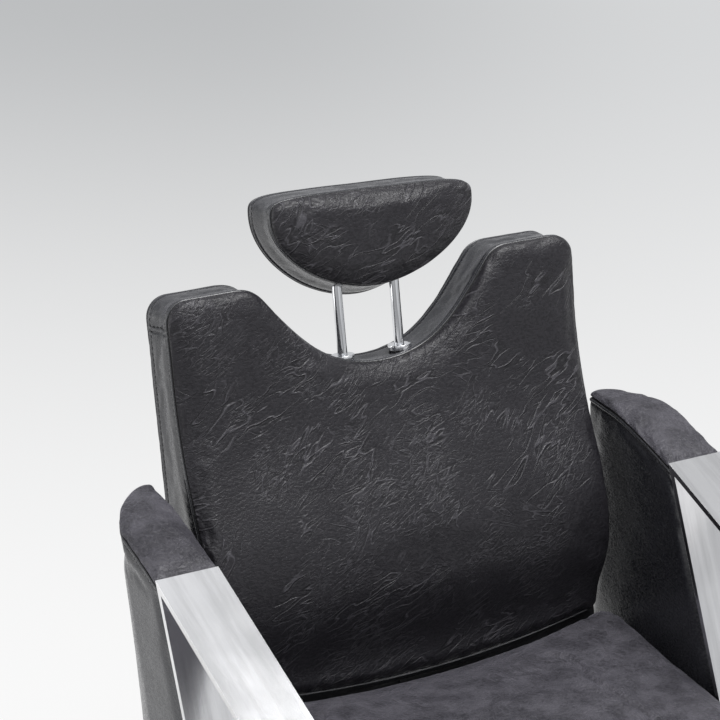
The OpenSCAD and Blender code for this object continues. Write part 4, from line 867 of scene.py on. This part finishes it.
def seat_top(p):
    """A crown over the middle, and a dish that runs down under the back's lower edge."""
    middle, reach = (SEAT_REAR + SEAT_FRONT) / 2, (SEAT_REAR - SEAT_FRONT) / 2 * CROWN_REACH
    across = np.clip(np.abs(p[:, 0]) / CROWN_HALF, 0, 1)
    along = np.clip(np.abs(p[:, 1] - middle) / reach, 0, 1)
    behind = np.clip(1 - (SEAT_REAR - p[:, 1]) / DISH_RUN, 0, 1)
    under = np.clip(1 - (p[:, 0] / DISH_HALF) ** 2, 0, 1)
    return DISH_DEPTH * under * behind ** 1.2 - SEAT_CROWN * (1 - across ** 2) * (1 - along ** 2)


seat_cover = Cover(
    "seat_cover", seat_outline, seat_top, level(SEAT_THICK),
    lambda p, d: np.array([p[0], p[1], SEAT_TOP - d]),
    front=seam_rows(24, 9), rear=plain_rows(8, 4), middle_step=6, grid=7.0, pull=4, rear_grid=30)
seat_piece = seat_cover.build([seat_leather, side_leather, seam_leather])


# The arm pads

PAD_INNER, PAD_OUTER, PAD_TOP, PAD_SOLE = 276, 346, 726.0, 345.0
FRONT_Y, FRONT_Z = 139.34, 705
FRONT_TAN, REAR_TAN = math.tan(math.radians(27.5)), math.tan(math.radians(6))
CORNER_TAN = math.tan(math.radians(20.5)) - REAR_TAN
PAD_REAR, CORNER_WIDE, CORNER_LONG, CORNER_POWER = 300.0, 65.0, 78.0, 2 / 1.45
PAD_FLAT, PAD_DROP, PAD_CROWN, PAD_CROWN_HALF = 250, 21, 2.6, 32


def pad_front(z):
    return FRONT_Y + (z - FRONT_Z) * FRONT_TAN


PAD_FRONT = pad_front(PAD_TOP)


def pad_outline(inset):
    """The right pad's outline at its top, with one large rounded corner at its outer rear."""
    small = max(2.6 - inset * 0.3, 0.8)
    x0, x1, y0, y1 = PAD_INNER + inset, PAD_OUTER - inset, PAD_FRONT + inset, PAD_REAR - inset
    wide, long = min(CORNER_WIDE - inset, (x1 - x0) * 0.93 - small * 0.4), CORNER_LONG - inset
    turn = np.radians(np.linspace(0, 90, 28))[:-1]
    corner = np.column_stack([
        x1 - wide + wide * np.cos(turn) ** CORNER_POWER,
        y1 - long + long * np.sin(turn) ** CORNER_POWER])
    return np.vstack([
        line((x0 + small, y0), (x1 - small, y0), 14),
        arc((x1 - small, y0 + small), small, -90, 0, 4)[:-1],
        line((x1, y0 + small), (x1, y1 - long), 12),
        corner,
        line((x1 - wide, y1), (x0 + small, y1), 2),
        arc((x0 + small, y1 - small), small, 90, 180, 4)[:-1],
        line((x0, y1 - small), (x0, y0 + small), 28),
        arc((x0 + small, y0 + small), small, 180, 270, 4)[:-1]])


def pad_top(p):
    """Level behind, and falling towards the metal loop, with a slight crown across."""
    run = np.clip((PAD_FLAT - p[:, 1]) / (PAD_FLAT - PAD_FRONT), 0, 1)
    across = np.clip((p[:, 0] - (PAD_INNER + PAD_OUTER) / 2) / PAD_CROWN_HALF, -1, 1)
    return PAD_DROP * run ** 1.4 - PAD_CROWN * (1 - across ** 2)


def in_pad(side):
    """Places on one pad, whose front and rear lean and whose corner grows longer further down."""
    def place(p, depth):
        z = PAD_TOP - depth
        front = pad_front(z)
        rear = PAD_REAR - (PAD_TOP - z) * REAR_TAN
        turn, long = PAD_REAR - CORNER_LONG, CORNER_LONG + (PAD_TOP - z) * CORNER_TAN
        if p[1] > turn:
            y = rear - (PAD_REAR - p[1]) * long / CORNER_LONG
        else:
            y = front + (p[1] - PAD_FRONT) / (turn - PAD_FRONT) * (rear - long - front)
        return np.array([side * p[0], y, z])
    return place


pad_covers = []
for side, word in ((-1, "left"), (1, "right")):
    pad = Cover(
        "arm_cover_" + word, pad_outline, pad_top, level(PAD_TOP - PAD_SOLE), in_pad(side),
        front=seam_rows(6, 6), rear=plain_rows(3, 3), middle_step=6.5, grid=4.6, pull=2)
    pad.build([arm_leather, side_leather, seam_leather])
    pad_covers.append(pad)

# Each piece with its pressure, its slack as a share, and its cap in millimetres
settle([
    (back_piece, 3.0, 0.006, 3.0),
    (head_piece, 3.0, 0.006, 2.0),
    (seat_piece, 3.0, 0.012, 3.5),
    (pad_covers[0].piece, 2.0, 0.012, 2.4),
    (pad_covers[1].piece, 2.0, 0.012, 2.4),
])
for sheet in (panel_piece, apron_piece, strip_piece):
    smooth_once(sheet)


# Wrinkles: the seat's side bolsters and the folds that gather at its rear corners, the arms' cross
# wrinkles, and slack all over

BOLSTER = np.array([
    (142, 151), (153, 134), (156, 112), (147, 82), (147, 54), (151, 30), (158, -10), (163, -80),
    (166, -170)], float)
BOLSTER_END, GATHER_CORNER = 200, (268, 228)
SEAT_SIDES_BELOW, PAD_SIDES_BELOW = 440, 690


def from_line(x, y, points):
    """Distance from a place to a line of points."""
    start, step = points[:-1], np.diff(points, axis=0)
    share = np.clip(((np.array([x, y]) - start) * step).sum(1) / (step ** 2).sum(1), 0, 1)
    return np.min(np.linalg.norm(start + step * share[:, None] - (x, y), axis=1))


def ridged(x, y, z):
    """Sharp little ridges, from 0 to 1."""
    return (1 - abs(noise.noise(Vector((x, y, z)))) * 2) ** 2


def seat_wrinkle(co):
    """A fold with a soft ridge beside it, gathers fanning out of the corner, and slack."""
    x, y, z = abs(co.x) / MM, co.y / MM, co.z / MM
    if z < SEAT_SIDES_BELOW:
        return 0.0
    gap = from_line(x, y, BOLSTER)
    fold = -2.6 * math.exp(-(gap / 3.2) ** 2) + 1.2 * math.exp(-((gap - 8) / 5) ** 2)
    across, along = GATHER_CORNER[0] - x, GATHER_CORNER[1] - y
    away, turn = math.hypot(across, along), math.atan2(along, across)
    gather = 1.5 * math.exp(-away / 80) * ridged(turn * 5.5, away / 60, co.x * 3)
    slack = 0.9 * noise.noise(Vector((co.x * 16, y / 55, 3))) + 0.4 * ridged(co.x * 38, y / 22, 7)
    return fold * max(0, min(1, (BOLSTER_END - y) / 30)) + gather + slack


def arm_wrinkle(co):
    """Ridges across the top, and slack on the sides."""
    if co.z / MM < PAD_SIDES_BELOW:
        return 0.25 * noise.noise(co * 28)
    return 0.4 * ridged(co.x * 9, co.y * 42, 5) + 0.25 * noise.noise(co * 30)


def back_wrinkle(co):
    """Long shallow waves that rise to one side, and small ones."""
    tilt = Vector((co.x * 14 + co.z * 9, co.y * 10, co.z * 26 - co.x * 12))
    return 0.3 * noise.noise(tilt) + 0.12 * noise.noise(co * 46)


crumple(seat_piece, seat_wrinkle)
crumple(back_piece, back_wrinkle)
crumple(head_piece, back_wrinkle)
for pad in pad_covers:
    crumple(pad.piece, arm_wrinkle)


# Thread rows: a cover's own points keep their numbers when its mesh is made finer

def thread_rows(name, cover, parts, long, gap):
    paths = [(*cover.row_path(part), True) for part in parts]
    paths += [(*cover.column_path(distances), False) for distances in cover.cross]
    return stitches(name, paths, long, gap)


threads = [
    (thread_rows("back_threads", back_cover, ("front", "rear"), 4.2, 2.0), "back"),
    (thread_rows("head_threads", head_cover, ("front", "rear"), 4.0, 1.8), "headrest"),
    (thread_rows("seat_threads", seat_cover, ("front",), 4.2, 2.0), "seat"),
    (thread_rows("arm_threads_left", pad_covers[0], ("front",), 3.8, 1.8), "seat"),
    (thread_rows("arm_threads_right", pad_covers[1], ("front",), 3.8, 1.8), "seat"),
]


# The frame: every node that shows keeps its shape, with softened edges and a material

BEVELS = {
    "arm_frame_left": 1.0, "arm_frame_right": 1.0, "base_cover": 0.8, "footrest_arm": 1.2,
    "release_handle": 0.8, "pedal_arm": 0.8, "seat_plate": 0.8, "floor_pad": 0.8}
LEAST_BEVEL, WELD_REACH, BEVEL_ANGLE = 0.4, 0.02, 35
slot_of = {part["node"]: part["material_slot"] for part in frame["record"]["subparts"]}
for name, node in nodes.items():
    node.data.materials.clear()
    node.data.materials.append(finishes[slot_of[name]])
    weld = node.modifiers.new("weld", "WELD")
    weld.merge_threshold = WELD_REACH * MM
    bevel = node.modifiers.new("soft_edges", "BEVEL")
    bevel.width = BEVELS.get(name, LEAST_BEVEL) * MM
    bevel.segments = 2
    bevel.limit_method = "ANGLE"
    bevel.angle_limit = math.radians(BEVEL_ANGLE)
    bevel.harden_normals = True

for piece, body, replaced in (
        (back_piece, "back", "back_cushion"), (panel_piece, "back", "back_panel"),
        (head_piece, "headrest", "head_pad"), (seat_piece, "seat", "seat_cushion"),
        (pad_covers[0].piece, "seat", "arm_pad_left"), (pad_covers[1].piece, "seat", "arm_pad_right")):
    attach(piece, body)
    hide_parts(replaced)
for piece in (apron_piece, strip_piece):
    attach(piece, "back")
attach(highlight_piping_piece, "back")
for piece, body in threads:
    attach(piece, body)


# Floor, light and camera

ACROSS, AWAY = (0.878, -0.478, 0.0), (0.489, 0.873, 0.0)
WHITE, GREY_LEFT, GREY_RIGHT = rgb(1.0, 1.0, 1.0), rgb(0.56, 0.57, 0.58), rgb(0.74, 0.75, 0.76)
FLOOR_GLOW, MIRRORED_SHARE, WALL, FILL = 0.88, 0.85, 0.88, 0.07
FLOOR_REACH = 9.0


def stage_material(name):
    """Pale paper with soft tones across it, that camera and glossy rays see as mostly its own colour."""
    g = Graph(name)
    across = g.add("ShaderNodeVectorMath", {0: g.place, 1: ACROSS}, operation="DOT_PRODUCT")
    away = g.add("ShaderNodeVectorMath", {0: g.place, 1: AWAY}, operation="DOT_PRODUCT")
    fade = g.ramp(away.outputs["Value"], 0.6, 4.6)
    left, right = g.mix(fade, WHITE, GREY_LEFT), g.mix(fade, WHITE, GREY_RIGHT)
    tone = g.mix(g.ramp(across.outputs["Value"], -0.6, 0.9), left, right)
    g.set(Base_Color=tone, Roughness=g.ramp(g.noise(3.0), 0.2, 0.8, 0.75, 0.85))
    glow = g.add("ShaderNodeEmission", {"Color": tone, "Strength": 1.0})
    rays = g.add("ShaderNodeLightPath").outputs
    mirrored = g.math("MAXIMUM", rays["Is Glossy Ray"], rays["Is Transmission Ray"])
    direct = g.math("MAXIMUM", rays["Is Camera Ray"], g.math("MULTIPLY", mirrored, MIRRORED_SHARE))
    blend = g.add("ShaderNodeMixShader", {
        0: g.math("MULTIPLY", direct, FLOOR_GLOW), 1: g.shader.outputs[0], 2: glow.outputs[0]})
    g.feed(g.tree.nodes["Material Output"].inputs["Surface"], blend.outputs[0])
    return g.material


floor_mesh = bpy.data.meshes.new("floor")
corners = [(FLOOR_REACH * x, FLOOR_REACH * y, 0) for x, y in ((-1, -1), (1, -1), (1, 1), (-1, 1))]
floor_mesh.from_pydata(corners, [], [(0, 1, 2, 3)])
floor_mesh.materials.append(stage_material("floor_paper"))
floor = bpy.data.objects.new("floor", floor_mesh)
scene.collection.objects.link(floor)

world = bpy.data.worlds.new("studio")
scene.world = world
world.use_nodes = True
tree = world.node_tree
background = tree.nodes["Background"]


def world_node(kind, inputs=None, **settings):
    made = tree.nodes.new(kind)
    for key, value in settings.items():
        setattr(made, key, value)
    for key, value in (inputs or {}).items():
        if isinstance(value, bpy.types.NodeSocket):
            tree.links.new(value, made.inputs[key])
        else:
            made.inputs[key].default_value = value
    return made


# Direct rays see a plain pale wall, mirrored ones a room with soft patches, the rest a low fill
rays = world_node("ShaderNodeLightPath").outputs
seen = world_node("ShaderNodeMath", {0: rays["Is Camera Ray"], 1: rays["Is Glossy Ray"]}, operation="MAXIMUM")
seen = world_node("ShaderNodeMath", {0: seen.outputs[0], 1: rays["Is Transmission Ray"]}, operation="MAXIMUM")
way = world_node("ShaderNodeTexCoord").outputs["Generated"]
height = world_node("ShaderNodeSeparateXYZ", {0: way}).outputs[2]
room = world_node("ShaderNodeMapRange", {
    "Value": height, "From Min": 0.05, "From Max": 0.75, "To Min": 0.6, "To Max": 0.98},
    interpolation_type="SMOOTHSTEP").outputs[0]
patch = world_node("ShaderNodeTexNoise", {"Vector": way, "Scale": 2.6, "Detail": 1.0}).outputs["Fac"]
patch = world_node("ShaderNodeMapRange", {
    "Value": patch, "From Min": 0.4, "From Max": 0.6, "To Min": 0.55, "To Max": 1.12}).outputs[0]
room = world_node("ShaderNodeMath", {0: room, 1: patch}, operation="MULTIPLY").outputs[0]
room = world_node("ShaderNodeMix", {0: rays["Is Camera Ray"], 2: room, 3: WALL}).outputs[0]
strength = world_node("ShaderNodeMix", {0: seen.outputs[0], 2: FILL, 3: room})
background.inputs["Color"].default_value = rgb(0.97, 0.98, 1.0)
tree.links.new(strength.outputs[0], background.inputs["Strength"])


LAMPS = (
    # name, place, width and height in metres, and watts
    ("key", (0.6, -0.3, 3.0), 1.8, 1.2, 50),
    ("top_front", (-0.3, -1.1, 2.9), 2.0, 1.4, 16),
    ("left_side", (-2.8, 1.0, 1.3), 2.2, 2.2, 26),
)
LAMP_TARGET = Vector((0, 0.1, 0.7))
for name, place, width, height, watts in LAMPS:
    lamp = bpy.data.lights.new(name, "AREA")
    lamp.shape = "RECTANGLE"
    lamp.size, lamp.size_y = width, height
    lamp.energy = watts
    made = bpy.data.objects.new(name, lamp)
    made.location = place
    made.rotation_euler = (LAMP_TARGET - Vector(place)).to_track_quat("-Z", "Y").to_euler()
    scene.collection.objects.link(made)

scene.view_settings.view_transform = "Standard"
camera_data = bpy.data.cameras.new("photo_view")
camera_data.sensor_width, camera_data.lens = 36.0, 130.0
camera = bpy.data.objects.new("photo_view", camera_data)
# The photograph's viewing place, and its directions right, up and backwards
CAMERA_PLACE = (-1.2902, -1.9528, 1.9630)
CAMERA_WAYS = ((0.8781, -0.4776, 0.0281), (0.1707, 0.3676, 0.9142), (-0.4469, -0.7980, 0.4044))
camera.matrix_world = Matrix.Translation(CAMERA_PLACE) @ Matrix(CAMERA_WAYS).transposed().to_4x4()
scene.collection.objects.link(camera)
scene.camera = camera

bpy.context.view_layer.update()
